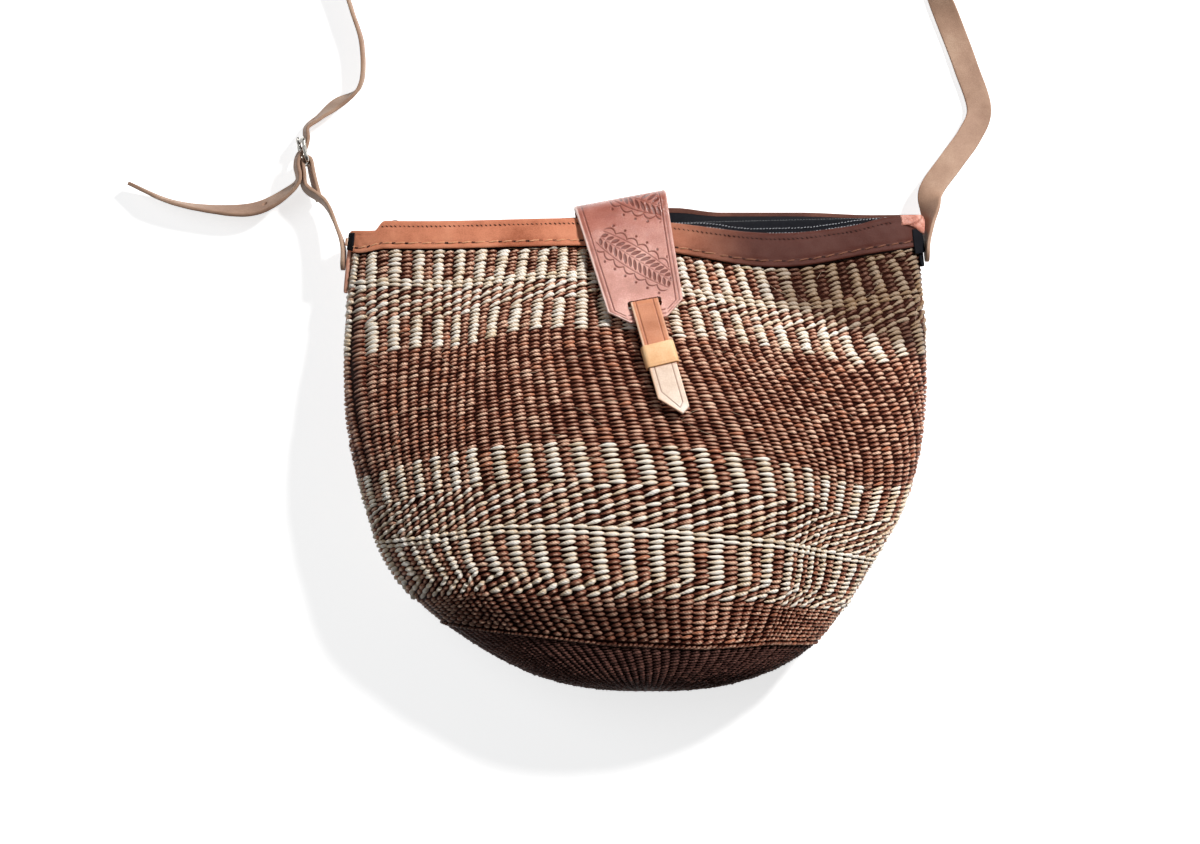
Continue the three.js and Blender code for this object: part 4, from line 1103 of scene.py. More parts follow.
def make_corners():
    """The right corner's crumpled tab, the left one's small pale loop, and the black cloth under both."""
    right, left = np.linspace(-24, 21.5, 90) * DEGREE, np.linspace(173.5, 192, 40) * DEGREE
    surface_piece("corner_right", right, TAB_SECTION, MOUTH_Y - CORNER_TAB_WIDTH, tab_leather, "rim_leather",
                  ("corner_tab_right",), crumple, climb)
    surface_piece("corner_left", left, wrap_section(8, 2.9, 4.6), BAND_BOTTOM + 5, pale_leather,
                  "rim_leather", ("corner_tab_left",),
                  rise_change=lambda turn, rises: band_hang(turn, rises + 8) - 0.6)
    right, left = np.linspace(-20, 15.5, 40) * DEGREE, np.linspace(167.5, 174, 14) * DEGREE
    surface_piece("corner_binding_left", left, wrap_section(14.5, 2.9, 3.9), BAND_BOTTOM + 1, black_tape,
                  "zip_tape", rise_change=lambda turn, rises: band_hang(turn, rises + 2))
    surface_piece("corner_binding_right", right, wrap_section(13.5, 2.9, 3.9), BAND_BOTTOM - 4, black_tape,
                  "zip_tape")


def angle_for_height(middle, height):
    """The angle at which the side of the bag stands that much higher than at its middle."""
    turn = (1 if height > 0 else -1) * (1 if middle == 0 else -1)
    tries = middle + turn * np.linspace(0, math.pi / 3, 2000)
    z = surface(tries, ANCHOR_TOP)[:, 2]
    return tries[np.argmax(np.abs(z - z[0]) > abs(height))]


def make_anchor(name, middle, length_share, material):
    angles = np.linspace(angle_for_height(middle, -STRAP_WIDTH / 2), angle_for_height(middle, 2.6), 26)
    thinner = smoothstep(np.abs(np.linspace(-1, 1, 26)), 0.9, 1)[:, None]
    rises = ANCHOR_LENGTH - (ANCHOR_LENGTH - ANCHOR_RISES) * length_share
    surface_piece(f"anchor_{name}", angles, list(zip(rises, ANCHOR_OUTS)), ANCHOR_TOP - ANCHOR_LENGTH,
                  material, "strap_leather", (f"strap_anchor_{name}",),
                  lambda turn, rises: -0.8 * thinner * (ANCHOR_OUTS > 1))


make_rim()
make_corners()
make_anchor("right", 0.0, 0.45, black_tape)
make_anchor("left", math.pi, 1, anchor_leather)


# Zip: its own frame has X along the chain, Y out of the mouth and Z across the chain


ZIP_LENGTH = 300
ZIP_LEFT_Y = 125.5
ZIP_RIGHT_Y = 132.5
ZIP_MIDDLE_Y = (ZIP_LEFT_Y + ZIP_RIGHT_Y) / 2
ZIP_SLOPE = (ZIP_RIGHT_Y - ZIP_LEFT_Y) / ZIP_LENGTH
ZIP_Z = float(lift(np.array(130.0))) + MOUTH_DEPTH / 2
TAPE_THICKNESS = 0.7
TAPE_DROP = 2.5
COIL_REACH = 3.1
COIL_PITCH = 1.75
SLIDER_REACH = 4.8
zip_matrix = Matrix.Translation((0, ZIP_MIDDLE_Y, ZIP_Z)) @ Matrix.Rotation(math.atan(ZIP_SLOPE), 4, "Z")


def moved(points, matrix):
    m = np.array(matrix)
    return points @ m[:3, :3].T + m[:3, 3]


def make_tape(name, side):
    """Half of the zip's tape. Gives its lines from the rim to the teeth, and where these end in Y."""
    level = MOUTH_Y - TAPE_DROP
    x = np.linspace(-ZIP_LENGTH / 2 - 6, ZIP_LENGTH / 2 + 6, 240)
    angles = angle_at(x, level, side)
    edge = surface(angles, level + band_hang(angles, level - BAND_BOTTOM), -SEAT_GAP)
    chain_y = ZIP_MIDDLE_Y + edge[:, 0] * ZIP_SLOPE
    reach = np.minimum(SLIDER_REACH + 0.8, np.abs(edge[:, 2] - ZIP_Z) - 0.5)
    shelf = np.stack([edge[:, 0], chain_y, ZIP_Z + side * reach], -1)
    over = np.stack([edge[:, 0], lerp(edge[:, 1], chain_y, 0.25), lerp(edge[:, 2], shelf[:, 2], 0.33)], -1)
    inside = np.stack([edge[:, 0], chain_y, np.full(240, ZIP_Z + side * (COIL_REACH + SEAT_GAP))], -1)
    fine = np.stack([smooth_line(one, 9) for one in np.stack([edge, over, shelf, inside], 1)])
    pucker = 0.16 * np.sin(x * 1.1)[:, None] * np.sin(np.linspace(0, math.pi, 9))
    top, bottom = fine.copy(), fine.copy()
    top[:, :, 1] += TAPE_THICKNESS / 2 + pucker
    bottom[:, :, 1] -= TAPE_THICKNESS / 2
    make_piece(f"tape_{name}", loft(np.concatenate([top, bottom[:, ::-1]], 1)), black_tape, "zip_tape",
               (f"zip_tape_{name}",))
    return fine, chain_y


def make_tape_sewing(tape, chain_y):
    """Two rows of short stitches along the front tape, which sag with it to the right of the flap."""
    x = tape[:, 0, 0]
    sag = smoothstep(x, 36, 72) * (1 - smoothstep(x, 96, 146))
    dash = np.array([[-0.55, -0.15, 0.3], [0, 0.06, 0.4], [0.55, 0.15, 0.3]])
    stitches = []
    for offset, drop in ((-0.5, 4.6), (-3.0, 5.0)):
        seam = np.array([[np.interp(y, line[:, 1], line[:, k]) for k in range(3)]
                         for y, line in zip(chain_y + offset - drop * sag, tape)])
        seam = places_at(seam, np.arange(9, walked_along(seam)[-1] - 9, 1.9))
        seam[:, 1] += TAPE_THICKNESS / 2 + 0.08 * rng.standard_normal(len(seam))
        stitches += [tube(point + dash, 0.27, 5) for point in seam]
    make_piece("tape_sewing", merge(stitches), grey_thread, "zip_tape")


def make_teeth(name, side):
    """One row of teeth: a flattened coil, half a turn on from the other row's, and a cord inside it."""
    turns = int((ZIP_LENGTH - 2) / COIL_PITCH)
    t = np.linspace(0, turns, turns * 12 + 1)
    turn = t * 2 * math.pi
    middle = (COIL_REACH - 0.55) / 2
    wide = COIL_REACH - 0.35 - middle
    shift = 0.25 if side > 0 else 0.25 + COIL_PITCH / 2
    x = (t - turns / 2) * COIL_PITCH + shift + 0.25 * np.sin(turn) * side
    coil = np.stack([x, 0.78 * np.cos(turn), side * (middle + wide * np.sin(turn))], -1)
    x = np.linspace(-ZIP_LENGTH / 2, ZIP_LENGTH / 2, 120)
    cord = np.stack([x, 0 * x, 0 * x + side * (COIL_REACH - 1)], -1)
    points, faces = merge([tube(coil, 0.33, 6), tube(cord, 0.42, 6)])
    shape = moved(points, zip_matrix), faces
    make_piece(f"coil_{name}", shape, zip_nylon, "zip_coil", (f"zip_coil_{name}",))


def make_rounded(node, body, bevel):
    """A metal solid of the part with its edges rounded."""
    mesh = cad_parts[node].data.copy()
    mesh.materials.clear()
    mesh.materials.append(nickel)
    piece = add_object(f"{node}_finished", mesh)
    weld = bmesh.new()
    weld.from_mesh(mesh)
    bmesh.ops.remove_doubles(weld, verts=weld.verts, dist=1e-6)
    bmesh.ops.dissolve_limit(weld, angle_limit=1 * DEGREE, verts=weld.verts, edges=weld.edges)
    weld.to_mesh(mesh)
    weld.free()
    rounding = piece.modifiers.new("bevel", "BEVEL")
    rounding.width = bevel * MM
    rounding.segments = 3
    rounding.limit_method = "ANGLE"
    rounding.angle_limit = 35 * DEGREE
    mesh.polygons.foreach_set("use_smooth", np.full(len(mesh.polygons), True))
    piece.modifiers.new("normals", "WEIGHTED_NORMAL").keep_sharp = False
    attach(piece, body)
    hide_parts(node)


make_tape_sewing(*make_tape("front", 1))
make_teeth("front", 1)
make_tape("back", -1)
make_teeth("back", -1)
for zip_node, zip_body, zip_bevel in (("zip_slider", "slider", 0.28), ("zip_pull", "pull", 0.35),
                                      ("zip_stop_left", "bag", 0.4), ("zip_stop_right", "bag", 0.4)):
    make_rounded(zip_node, zip_body, zip_bevel)


# Flap: its own frame has X along the crease, Y out past the mouth and Z up


FLAP_X = -9.6
FOLD_Y = 145
FOLD_Z = 22
FLAP_TURN = 10.5
FLAP_TOP_WIDTH = 56
FLAP_LOW_WIDTH = 45
FLAP_END_WIDTH = 22
FLAP_SHOULDER = 68.5
FLAP_LENGTH = 77
FLAP_DRIFT = 0.037
FLAP_STANDOFF = 2
FLAP_END_RISE = 1.2
FLAP_TILT = -0.11
TAIL_REACH = 33
SLOT_DISTANCE = 67
SLOT_LENGTH = 5.5
SLOT_WIDTH = 20
CLOSURE_WIDTH = 16.5
CLOSURE_THICKNESS = 1.8
CLOSURE_BEND = 3.1
CLOSURE_DRIFT = 0.09
TONGUE_END = -134.5
UNDER_END = -114
TONGUE_CUT = 11
TONGUE_SHORT_CUT = 3.5
KEEPER_TOP = -92
KEEPER_LENGTH = 14
KEEPER_WALL = 1.2
LAYER_GAP = 0.5
LEAF_PITCH = 3.4
SCALLOP_PITCH = 7.4
flap_matrix = Matrix.Translation((FLAP_X, FOLD_Y, 0)) @ Matrix.Rotation(FLAP_TURN * DEGREE, 4, "Z")

# Bands of tooling: turn in degrees, start in X and Y, and length
TOOLED_BANDS = ((-43, -16.5, -22.5, 52.0), (-28, -4, 3.5, 34.0))


def height_under(x, y):
    """Height of the basket's front below places of the flap's frame."""
    x, y = np.broadcast_arrays(np.asarray(x, float), np.asarray(y, float))
    world = moved(np.stack([x, y, 0 * x], -1).reshape(-1, 3), flap_matrix)
    return front_height(world[:, 0], world[:, 1]).reshape(x.shape)


def flap_centre(y):
    return -FLAP_DRIFT * y


def flap_height(y):
    y = np.asarray(y, float)
    standoff = BAND_OUTER + FLAP_STANDOFF + LEATHER / 2 + FLAP_END_RISE * smoothstep(-y, 30, FLAP_LENGTH)
    return height_under(flap_centre(y), y) + standoff


def flap_half_width(y):
    upper = lerp(FLAP_TOP_WIDTH, FLAP_LOW_WIDTH, np.clip(-y / FLAP_SHOULDER, 0, 1)) / 2
    low = np.clip((-y - FLAP_SHOULDER) / (FLAP_LENGTH - FLAP_SHOULDER), 0, 1)
    return np.where(-y < FLAP_SHOULDER, upper, lerp(FLAP_LOW_WIDTH, FLAP_END_WIDTH, low) / 2)


def ridge(x, width):
    """One where x is nothing, falling smoothly to nothing at width."""
    return np.exp(-((x / width) ** 2) * 2.2)


def leaf(x, y, turn, length, width):
    """Stamp of a pointed leaf from the origin: how deep it is pressed, from 0 to 1."""
    cos, sin = math.cos(turn), math.sin(turn)
    along = (x * cos + y * sin) / length
    across = (y * cos - x * sin) / width
    inside = np.clip(along * (1 - along) * 4, 0, 1) ** 0.7
    return np.where((along > 0) & (along < 1), smoothstep(inside - np.abs(across), 0, 0.35), 0)


def stroke(distance, width, depth):
    """A pressed line with the leather raised a little along both its sides."""
    return -depth * ridge(distance, width) + 0.3 * depth * ridge(np.abs(distance) - 1.15 * width, 0.5 * width)


def tooling(x, y):
    """Height of the tooled pattern on the flap, in millimetres, at x and y in the flap's frame.

    Two lines run inside the edges. A band of paired leaves between scalloped borders crosses the flap, and
    the end of another shows under the fold.
    """
    off = x - flap_centre(y)
    side = flap_half_width(y) - np.abs(off)
    low = y + FLAP_LENGTH
    level = np.zeros_like(x)
    for distance, depth in ((1.9, 0.42), (4.2, 0.5)):
        level += stroke(side - distance, 0.5, depth) * (low > distance)
        level += stroke(low - distance, 0.5, depth) * (np.abs(off) < FLAP_END_WIDTH / 2)
    for turn, start_x, start_y, length in TOOLED_BANDS:
        cos, sin = math.cos(turn * DEGREE), math.sin(turn * DEGREE)
        u = (x - start_x) * cos + (y - start_y) * sin
        v = -(x - start_x) * sin + (y - start_y) * cos
        body = smoothstep(u, -0.5, 1) * (1 - smoothstep(u, length - 2, length)) * (side > 5)
        border = 3.6 + 2.9 * np.sin(np.clip(u / length, 0, 1) * math.pi) ** 0.8
        scallop = 2.4 * np.abs(np.sin(u * math.pi / SCALLOP_PITCH)) ** 0.8
        for edge in (-1, 1):
            past = v * edge - border
            level += stroke(past - 1.2 - scallop, 0.62, 0.55) * body + stroke(past - 0.3, 0.45, 0.4) * body
            dot = np.hypot(u % SCALLOP_PITCH - SCALLOP_PITCH / 2, past - 5.6)
            level -= 0.45 * (1 - smoothstep(dot, 0.5, 1.0)) * body
            for k in range(int(length / LEAF_PITCH)):
                long = 4.6 + 2.6 * math.sin(k / 14 * math.pi)
                stamp = leaf(u - 1 - LEAF_PITCH * k, v - edge * 0.5, edge * 50 * DEGREE, long, 1.15)
                level = np.minimum(level, -0.55 * stamp * body)
        level += stroke(v, 0.4, 0.3) * body * (np.abs(v) < 1)
    return level * smoothstep(-y, 1.2, 3.2) * (low > 1)


def under_band(y):
    """Height of the flap's tail behind the back band."""
    level = FOLD_Y + y - BACK_RIM_RISE
    return float(lift(np.maximum(level, BAND_BOTTOM)) - BAND_OUTER - BAND_INNER - LEATHER / 2 - 0.8)


def flat_line(pairs, count):
    """A smooth line through pairs of Y and Z."""
    return smooth_line([(y, z, 0) for y, z in pairs], count)[:, :2]


def flap_line(count):
    """The flap's middle line in Y and Z, from its tail over the fold to its end, and the tail's points."""
    inside = -LEATHER / 2
    tail = [(y, under_band(y)) for y in np.linspace(-TAIL_REACH, -9, 6)]
    tail += [(-4.2, under_band(-4.0) - 1.2), (inside - 0.8, 7), (inside, 12), (inside, FOLD_Z - 0.15)]
    over = np.linspace(-14, -FLAP_LENGTH, 10)
    heights = flap_height(over)
    top = heights[0]
    front = [(inside, FOLD_Z + 0.15), (inside * 1.4, lerp(FOLD_Z, top, 0.45)), (-4.5, top - 4.5)]
    tail_line = flat_line(tail, count // 3)
    return np.concatenate([tail_line, flat_line([*front, *zip(over, heights)], count)[1:]]), len(tail_line)


def soften(line, times):
    """Rounds off kinks in a line without moving its ends."""
    line = line.copy()
    for _ in range(times):
        line[1:-1] = lerp(line[1:-1], (line[:-2] + line[2:]) / 2, 0.5)
    return line


def make_strip(name, line, thickness, sides, tilt, columns, edge_round, pattern, patterned, looks):
    """A leather strip along a line in Y and Z of the flap's frame, with rounded edges.

    sides holds its centre and its two edges' distances from the centre. pattern gives the tooled depth on the
    upper face, where the line is patterned. looks holds its material, slot, nodes stood for and body. The
    layer marks holds the tooled depth, with the worn edges, and Y.
    """
    centre, low, high = (part[:, None] for part in sides)
    wide = high - low
    along = unit(np.gradient(line, axis=0))
    close = np.array([0, 0.006, 0.018, 0.04])
    share = np.concatenate([close, np.linspace(0.06, 0.94, columns), 1 - close[::-1]])
    edge = np.minimum(share, 1 - share) * wide
    rounded = thickness / 2 * np.sqrt(1 - (1 - np.clip(edge / edge_round, 0, 1)) ** 2)
    rounded = np.maximum(rounded, 0.12 * thickness)[..., None]
    x = centre + low + share * wide
    y, z = (np.broadcast_to(part[:, None], x.shape) for part in line.T)
    base = np.stack([x, y, z + tilt[:, None] * (x - centre)], -1)
    normal = np.stack([0 * along[:, 0], -along[:, 1], along[:, 0]], -1)[:, None]
    pressed = np.where(patterned[:, None], pattern(x, y), 0)
    last = len(share)
    few = np.concatenate([np.arange(4), np.linspace(4, last - 5, 12).astype(int), np.arange(last - 4, last)])
    inner = (base + normal * rounded)[:, few]
    outer = (base - normal * (rounded + pressed[..., None]))[:, ::-1]
    points, faces = loft(np.concatenate([inner, outer], 1))
    worn = smoothstep(-edge, -1.9, -0.7) * np.where(share < 0.5, 1, 0.45)
    marks = np.concatenate([0 * x[:, few], (pressed + worn * (np.abs(pressed) < 0.12))[:, ::-1]], 1)
    marks = np.stack([marks, np.broadcast_to(np.where(patterned, line[:, 0], 0)[:, None], marks.shape)], -1)
    marks = marks.reshape(-1, 2)
    marks = np.concatenate([marks, marks[:1], marks[-1:]])
    return make_piece(name, (moved(points, flap_matrix), faces), *looks, {"marks": marks})


def cut_away(piece, cutters):
    """Takes each cutter's closed mesh out of a piece."""
    for points, faces in cutters:
        tool = add_object("cutter", make_mesh("cutter", points, faces)[0])
        cut = piece.modifiers.new("cut", "BOOLEAN")
        cut.operation = "DIFFERENCE"
        cut.solver = "EXACT"
        cut.object = tool
        cut.use_self = False
        bpy.context.view_layer.update()
        result = bpy.data.meshes.new_from_object(piece.evaluated_get(bpy.context.evaluated_depsgraph_get()))
        piece.modifiers.remove(cut)
        piece.data = result
        bpy.data.objects.remove(tool)


def rounded_box(length, width, height, corner, place):
    """A closed prism with rounded corners in plan, centred at a place."""
    ring = rounded_ring(width / 2, length / 2, corner, 6)
    points, faces = loft([at_height(ring, z) for z in (-height / 2, height / 2)])
    return points + place, faces


def make_flap():
    line, tail_count = flap_line(300)
    line = soften(line, 16)
    y = line[:, 0]
    front = np.arange(len(line)) >= tail_count
    half = np.where(front, flap_half_width(np.minimum(y, 0)), FLAP_TOP_WIDTH / 2)
    centre = np.where(front, flap_centre(np.minimum(y, 0)), 0)
    tilt = np.where(front, FLAP_TILT * smoothstep(-y, 2, 20), 0)
    piece = make_strip("flap_leather", line, LEATHER, (centre, -half, half), tilt, 150, 0.8, tooling, front,
                       (flap_leather, "flap_leather", ("flap", "flap_tail"), None))
    place = [flap_centre(-SLOT_DISTANCE), -SLOT_DISTANCE, float(flap_height(-SLOT_DISTANCE))]
    points, faces = rounded_box(SLOT_LENGTH, SLOT_WIDTH, 16, 1.6, place)
    cut_away(piece, [(moved(points, flap_matrix), faces)])
    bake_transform(piece)


# Closure strap: folded through the flap's slot, its long layer over the short one


BEND_Y = SLOT_LENGTH / 2 - SLOT_DISTANCE - SEAT_GAP - 0.2 - CLOSURE_THICKNESS / 2 - CLOSURE_BEND
PARALLEL_START = -FLAP_LENGTH - 7


def closure_centre(y):
    return flap_centre(-SLOT_DISTANCE) + CLOSURE_DRIFT * np.maximum(-SLOT_DISTANCE - np.asarray(y, float), 0)


LINE_START_Z = float(height_under(closure_centre(PARALLEL_START), PARALLEL_START)) + 4.8
LINE_END_Z = float(height_under(closure_centre(TONGUE_END), TONGUE_END)) + 4
CLOSURE_SLOPE = (LINE_END_Z - LINE_START_Z) / (TONGUE_END - PARALLEL_START)


def short_layer(y):
    return LINE_START_Z + CLOSURE_SLOPE * (y - PARALLEL_START)


def long_layer(y):
    return short_layer(y) + CLOSURE_THICKNESS + LAYER_GAP


def closure_pattern(x, y):
    """Two lines pressed into the strap beside its edges, meeting at its tip."""
    off = x - closure_centre(y)
    half = CLOSURE_WIDTH / 2 - 3.1
    past = y - TONGUE_END - 3.5
    left = lerp(half * 0.55, -half, np.clip(past / TONGUE_CUT, 0, 1))
    right = lerp(half * 0.55, half, np.clip(past / 3, 0, 1))
    return -0.4 * np.minimum((ridge(off - left, 0.42) + ridge(off - right, 0.42)) * (past > 0), 1)


def make_closure():
    end_z = float(flap_height(-FLAP_LENGTH))
    clear = LEATHER / 2 + CLOSURE_THICKNESS / 2 + SEAT_GAP + 0.3
    bend_z = float(flap_height(BEND_Y))
    under = [(y, short_layer(y)) for y in np.linspace(UNDER_END, PARALLEL_START, 4)]
    bend = [(BEND_Y + CLOSURE_BEND * math.cos(t), bend_z + CLOSURE_BEND * math.sin(t))
            for t in np.linspace(-90, 90, 9) * DEGREE]
    over = [(y, long_layer(y)) for y in np.linspace(PARALLEL_START, TONGUE_END, 6)]
    past_end = (-FLAP_LENGTH, end_z - clear), (-FLAP_LENGTH, end_z + clear)
    line = flat_line([*under, past_end[0], *bend, past_end[1], *over], 260)
    y = line[:, 0]
    on_top = np.arange(len(line)) > len(line) * 0.42
    half = CLOSURE_WIDTH / 2
    tip_x = 0.7 * CLOSURE_WIDTH - half
    left, right = (
        np.where(on_top, lerp(tip_x + side * 0.4, side * half, np.clip((y - TONGUE_END) / cut, 0, 1)),
                 side * half)
        for side, cut in ((-1, TONGUE_CUT), (1, TONGUE_SHORT_CUT)))
    make_strip("closure", line, CLOSURE_THICKNESS, (closure_centre(y), left, right), 0 * y + FLAP_TILT, 60,
               0.6, closure_pattern, on_top, (closure_leather, "closure_leather", ("closure_strap",), "flap"))


def make_keeper():
    """A leather ring round both layers, its rounded edges a little worn."""
    half = CLOSURE_WIDTH / 2 + 0.5
    half_height = (2 * CLOSURE_THICKNESS + LAYER_GAP + 0.8) / 2
    edge = [(0.0, 0.25), (0.12, 0.7), (0.5, 1.0), (0.95, 0.84), (1.5, 1.02)]
    walls = edge + [(k, 1.03) for k in np.linspace(2.2, KEEPER_LENGTH - 2.2, 8)]
    walls += [(KEEPER_LENGTH - along, thick) for along, thick in reversed(edge)]
    rings = [at_height(rounded_ring(half + KEEPER_WALL * thick, half_height + KEEPER_WALL * thick,
                                    1.6 + KEEPER_WALL * thick, 9), along) for along, thick in walls]
    rings += [at_height(rounded_ring(half, half_height, 1.2, 9), along)
              for along in np.linspace(KEEPER_LENGTH - 0.2, 0.2, 6)]
    points, faces = loft(rings, closed=True)
    origin, ahead = (np.array([float(closure_centre(y)), y, (short_layer(y) + long_layer(y)) / 2])
                     for y in (KEEPER_TOP, KEEPER_TOP - 10))
    along = unit(ahead - origin)
    side = unit(np.cross(np.array([-FLAP_TILT, 0, 1.0]), along))
    points = origin + points @ np.stack([side, np.cross(along, side), along])
    make_piece("keeper", (moved(points, flap_matrix), faces), keeper_leather, "keeper_leather",
               ("closure_keeper",), "keeper")


make_flap()
make_closure()
make_keeper()


# Shoulder strap: two flat straps that follow routes, and the buckle between them


LEAN = 15
FRAME_LENGTH = 14
FRAME_WIDTH = 20
FRAME_CORNER = 3
FRAME_ARCH = 1.1
BAR_RADIUS = 1.2
PRONG_RADIUS = 1
EYE_WALL = 0.9
RETURN_LENGTH = 24
PRONG_HOLE = 9
ADJUST_HOLE = 3.4
ADJUST_PITCH = 22
BUCKLE_AWAY = 24.8
BUCKLE_OUT = 58.5
STRAP_OUT = ANCHOR_OUTER + SEAT_GAP + STRAP_THICKNESS / 2
PIVOT_LEVEL = ANCHOR_TOP - STRAP_WIDTH * 0.4
ON_EDGE = STRAP_WIDTH / 2 + SEAT_GAP

right_pivot = surface(np.array(0.0), PIVOT_LEVEL, STRAP_OUT)
left_pivot = surface(np.array(math.pi), PIVOT_LEVEL, STRAP_OUT)
along_strap = np.array([-0.17, 0.985, 0.0])
across_strap = np.array([math.sin(LEAN * DEGREE), 0, math.cos(LEAN * DEGREE)])
out_of_strap = unit(np.cross(across_strap, along_strap))
along_strap = unit(along_strap)
across_strap = unit(np.cross(along_strap, out_of_strap))
buckle_origin = np.array([left_pivot[0] - BUCKLE_AWAY, left_pivot[1] + BUCKLE_OUT, FRAME_WIDTH / 2 + 2])
buckle_axes = np.stack([across_strap, along_strap, out_of_strap])


def in_buckle(points):
    return buckle_origin + np.asarray(points, float) @ buckle_axes


def beside(along, out, away):
    """A point of a route beside the buckle: along the strap, out of it, and how far it turns from the bag."""
    return [*in_buckle([0, along, out]), 90 - LEAN * away]


def from_pivot(pivot, x, y, z, roll):
    return [pivot[0] + x, pivot[1] + y, pivot[2] + z, roll]


def near_mouth(x, y, z, roll):
    """A point of a route above the mouth's right end."""
    return [right_pivot[0] + x, MOUTH_Y + y, right_pivot[2] + z, roll]


def in_open(across, out, above_edge, roll):
    """A point of a route in the open: in belly widths from the mouth's middle, and above lying on edge."""
    return [across * BELLY_WIDTH, MOUTH_Y + out * BELLY_WIDTH, ON_EDGE + above_edge, roll]


def pivot_end(angle):
    return [*surface(np.array(angle), PIVOT_LEVEL - STRAP_WIDTH / 2, STRAP_OUT + 0.2), 90]


class Ribbon:
    """A flat strap along a route of x, y, z and roll: at roll 0 it lies flat, at 90 it stands on edge."""

    def __init__(self, route):
        self.route = np.array(route, float)
        line, t = fine_spline(self.route[:, :3])
        walked = walked_along(line)
        self.length = walked[-1]
        self.t_of = lambda distance: np.interp(distance, walked, t)

    def at(self, t):
        t = np.atleast_1d(np.asarray(t, float))
        line = self.route[:, :3]
        low, high = (np.clip(t + step, 0, len(line) - 1) for step in (-1e-3, 1e-3))
        along = unit(spline(line, high) - spline(line, low))
        roll = spline(self.route[:, [0, 1, 3]], t)[:, 2:] * DEGREE
        side = unit(np.stack([along[:, 1], -along[:, 0], 0 * along[:, 0]], -1))
        across = side * np.cos(roll) + np.cross(side, along) * np.sin(roll)
        return spline(line, t), along, across, np.cross(across, along)

    def shape(self, step, end_shape, start=0.0):
        """The strap with a round start, and with end_shape giving its width towards the end."""
        distances = np.linspace(start, self.length, max(int(self.length / step), 8))
        close = np.array([0.15, 0.4, 0.9])
        distances = np.unique(np.concatenate([distances, start + close, self.length - close]))[:, None]
        point, _, across, out = (part[:, None] for part in self.at(self.t_of(distances[:, 0])))
        half = STRAP_WIDTH / 2 * np.minimum(round_end(distances - start), end_shape(self.length - distances))
        wide = np.array([-1, -0.985, -0.95, -0.88, -0.6, -0.25, 0.25, 0.6, 0.88, 0.95, 0.985, 1])
        thick = np.array([0.25, 0.72, 0.95, 1.0, 1.0, 0.97, 0.97, 1.0, 1.0, 0.95, 0.72, 0.25])
        thick = thick * STRAP_THICKNESS / 2
        ripple = 0.05 * np.sin(distances * 0.21 + wide * 2) + 0.04 * np.sin(distances * 0.57)
        middle = point + across * (wide * half)[..., None]
        upper = middle + out * (thick + ripple)[..., None]
        lower = middle - out * thick[:, None]
        return loft(np.concatenate([upper, lower[:, ::-1]], 1))

    def hole(self, distance, length):
        """A cutter for a hole at a distance along the strap: a prism with round ends."""
        point, along, across, out = (part[0] for part in self.at(self.t_of(distance)))
        straight = (length - ADJUST_HOLE) / 2
        turn = np.linspace(0, math.pi, 9)
        half = np.stack([np.cos(turn) * ADJUST_HOLE / 2, straight + np.sin(turn) * ADJUST_HOLE / 2], -1)
        ring = np.concatenate([half, -half])
        return loft([point + ring[:, :1] * across + ring[:, 1:] * along + out * z for z in (-5, 5)])


def round_end(distance):
    short = np.clip(1 - distance / (STRAP_WIDTH / 2), 0, 1)
    return np.sqrt(1 - (short * 0.98) ** 2)


def square_end(distance):
    return 0.9 + 0.1 * np.clip(distance, 0, 1)


def tapered_end(distance):
    return np.clip(0.35 + distance / 30, 0, 1)


long_strap = Ribbon([
    pivot_end(0.0),
    from_pivot(right_pivot, 0.8, 6, 0, 89),
    near_mouth(2.4, 0, -2.3, 76), near_mouth(3.2, 10, -3.8, 48), near_mouth(4, 20, -7.3, 18),
    in_open(0.551, 0.111, 3.2, 8), in_open(0.585, 0.158, -1.3, 0), in_open(0.603, 0.201, -4.4, 0),
    in_open(0.58, 0.28, -5.4, 0), in_open(0.554, 0.349, -5, 8), in_open(0.527, 0.413, -2, 35),
    in_open(0.487, 0.51, 0, 80), in_open(0.423, 0.643, 0, 90), in_open(0.314, 0.814, 0, 90),
    in_open(0.114, 0.96, 0, 90), in_open(-0.129, 0.989, 0, 90), in_open(-0.357, 0.886, 0, 90),
    in_open(-0.503, 0.7, 0, 90), in_open(-0.534, 0.514, 0, 90), in_open(-0.494, 0.377, 0, 90),
    in_open(-0.476, 0.315, 0, 90), in_open(-0.481, 0.241, 0.4, 96), in_open(-0.522, 0.211, 0.8, 120),
    in_open(-0.549, 0.189, 2, 108),
    beside(21, -4.2, -1),
    beside(FRAME_LENGTH, -BAR_RADIUS - STRAP_THICKNESS / 2 - 0.8, -1),
    beside(FRAME_LENGTH - 5, -0.9, -1),
    beside(FRAME_LENGTH / 2 - 2, 3.4, -1),
    beside(0, 5.6, -1),
    beside(-10, 6.2, -1),
    in_open(-0.611, 0.053, 4.2, 116), in_open(-0.662, 0.029, 2.2, 122), in_open(-0.738, 0.029, 1, 108),
    in_open(-0.813, 0.043, 0.6, 96), in_open(-0.883, 0.074, 0, 91),
])

fold_radius = BAR_RADIUS + SEAT_GAP + STRAP_THICKNESS / 2 + 0.1
short_strap = Ribbon([
    pivot_end(math.pi),
    from_pivot(left_pivot, -0.8, 6, -0.4, 90),
    from_pivot(left_pivot, -4.9, 18.5, -4.3, 86),
    from_pivot(left_pivot, -12.4, 33.5, -7.8, 80),
    beside(-14, fold_radius + 0.3, 1),
    beside(-6, fold_radius, 1),
    *(beside(fold_radius * math.cos(t), fold_radius * math.sin(t), math.sin(t))
      for t in np.linspace(90, -90, 7) * DEGREE),
    beside(-6, -fold_radius, -1),
    beside(-RETURN_LENGTH / 2, -fold_radius - 0.4, -1),
    beside(-RETURN_LENGTH, -fold_radius - 1.6, -1),
])


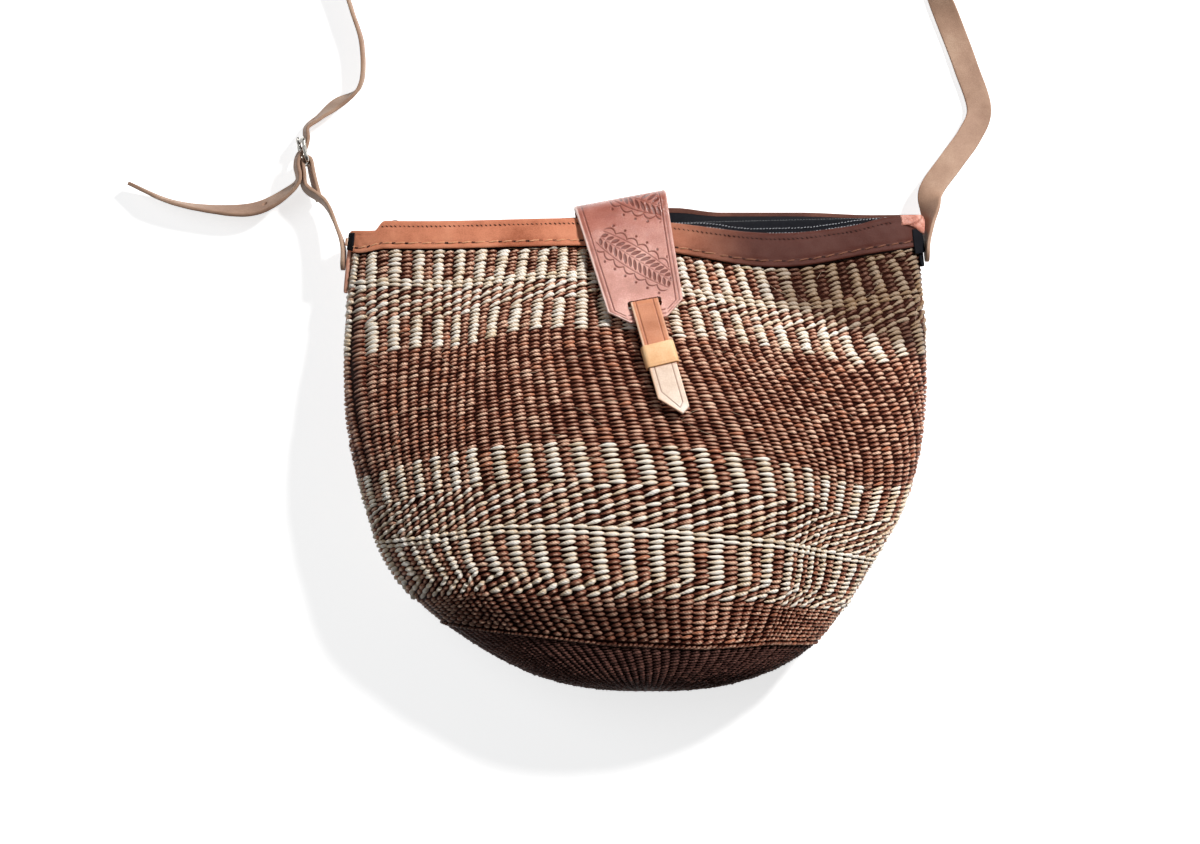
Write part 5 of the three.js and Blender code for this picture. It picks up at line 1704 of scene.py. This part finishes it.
def make_straps():
    piece = make_piece("long_strap_leather", long_strap.shape(1.5, tapered_end, 4.0), strap_leather,
                       "strap_leather", ("long_strap",), "shoulder_strap")
    through = in_buckle([0, FRAME_LENGTH / 2 - 0.4, 1.6])
    distances = np.linspace(0.6, 1, 2001) * long_strap.length
    places = long_strap.at(long_strap.t_of(distances))[0]
    at_prong = distances[np.argmin(np.linalg.norm(places - through, axis=1))]
    cut_away(piece, [long_strap.hole(at_prong + i * ADJUST_PITCH, ADJUST_HOLE if i else PRONG_HOLE)
                     for i in (-1, 0, 1, 2)])
    piece = make_piece("short_strap_leather", short_strap.shape(0.9, square_end), strap_leather,
                       "strap_leather", ("short_strap",), "shoulder_strap")
    slot = 2 * (fold_radius + STRAP_THICKNESS), 2 * PRONG_RADIUS + 1.4, 4 * fold_radius
    points, faces = rounded_box(*slot, 0.5, [0, fold_radius - 0.9, 0])
    cut_away(piece, [(in_buckle(points), faces)])


def make_buckle():
    """The frame arches a little, and the prong's eye turns on the frame's bar."""
    outline = rounded_ring(FRAME_WIDTH / 2, FRAME_LENGTH / 2, FRAME_CORNER, 9) + [0, FRAME_LENGTH / 2]
    arch = FRAME_ARCH * np.sin(np.pi * outline[:, 1] / FRAME_LENGTH)
    points, faces = tube(np.column_stack([outline, arch]), BAR_RADIUS, 18, closed=True)
    make_piece("buckle_frame_plated", (in_buckle(points), faces), nickel, "nickel",
               ("buckle_frame",), "buckle")
    rest = BAR_RADIUS + PRONG_RADIUS + SEAT_GAP
    eye_inner, wall = BAR_RADIUS + SEAT_GAP, EYE_WALL / 2
    shank = smooth_line([(0, eye_inner + EYE_WALL - 0.6, 0), (0, FRAME_LENGTH * 0.4, rest * 0.3),
                         (0, FRAME_LENGTH * 0.7, rest * 0.72), (0, FRAME_LENGTH, rest),
                         (0, FRAME_LENGTH + 2.2, rest - 0.5)], 40)
    radius = PRONG_RADIUS * np.interp(np.linspace(0, 1, 40), [0, 0.1, 0.9, 0.97, 1], [1, 1, 0.86, 0.66, 0.3])
    turn = np.linspace(0, 2 * math.pi, 33)[:-1, None]
    away = np.concatenate([0 * turn, np.cos(turn), np.sin(turn)], -1)[:, None]
    turn = np.linspace(0, 2 * math.pi, 13)[:-1, None]
    eye = away * (eye_inner + wall + wall * np.cos(turn)) + PRONG_RADIUS * np.sin(turn) * [1, 0, 0]
    points, faces = merge([tube(shank, radius, 14), loft(eye, closed=True)])
    make_piece("buckle_prong_plated", (in_buckle(points), faces), nickel, "nickel",
               ("buckle_prong",), "prong")


make_straps()
make_buckle()
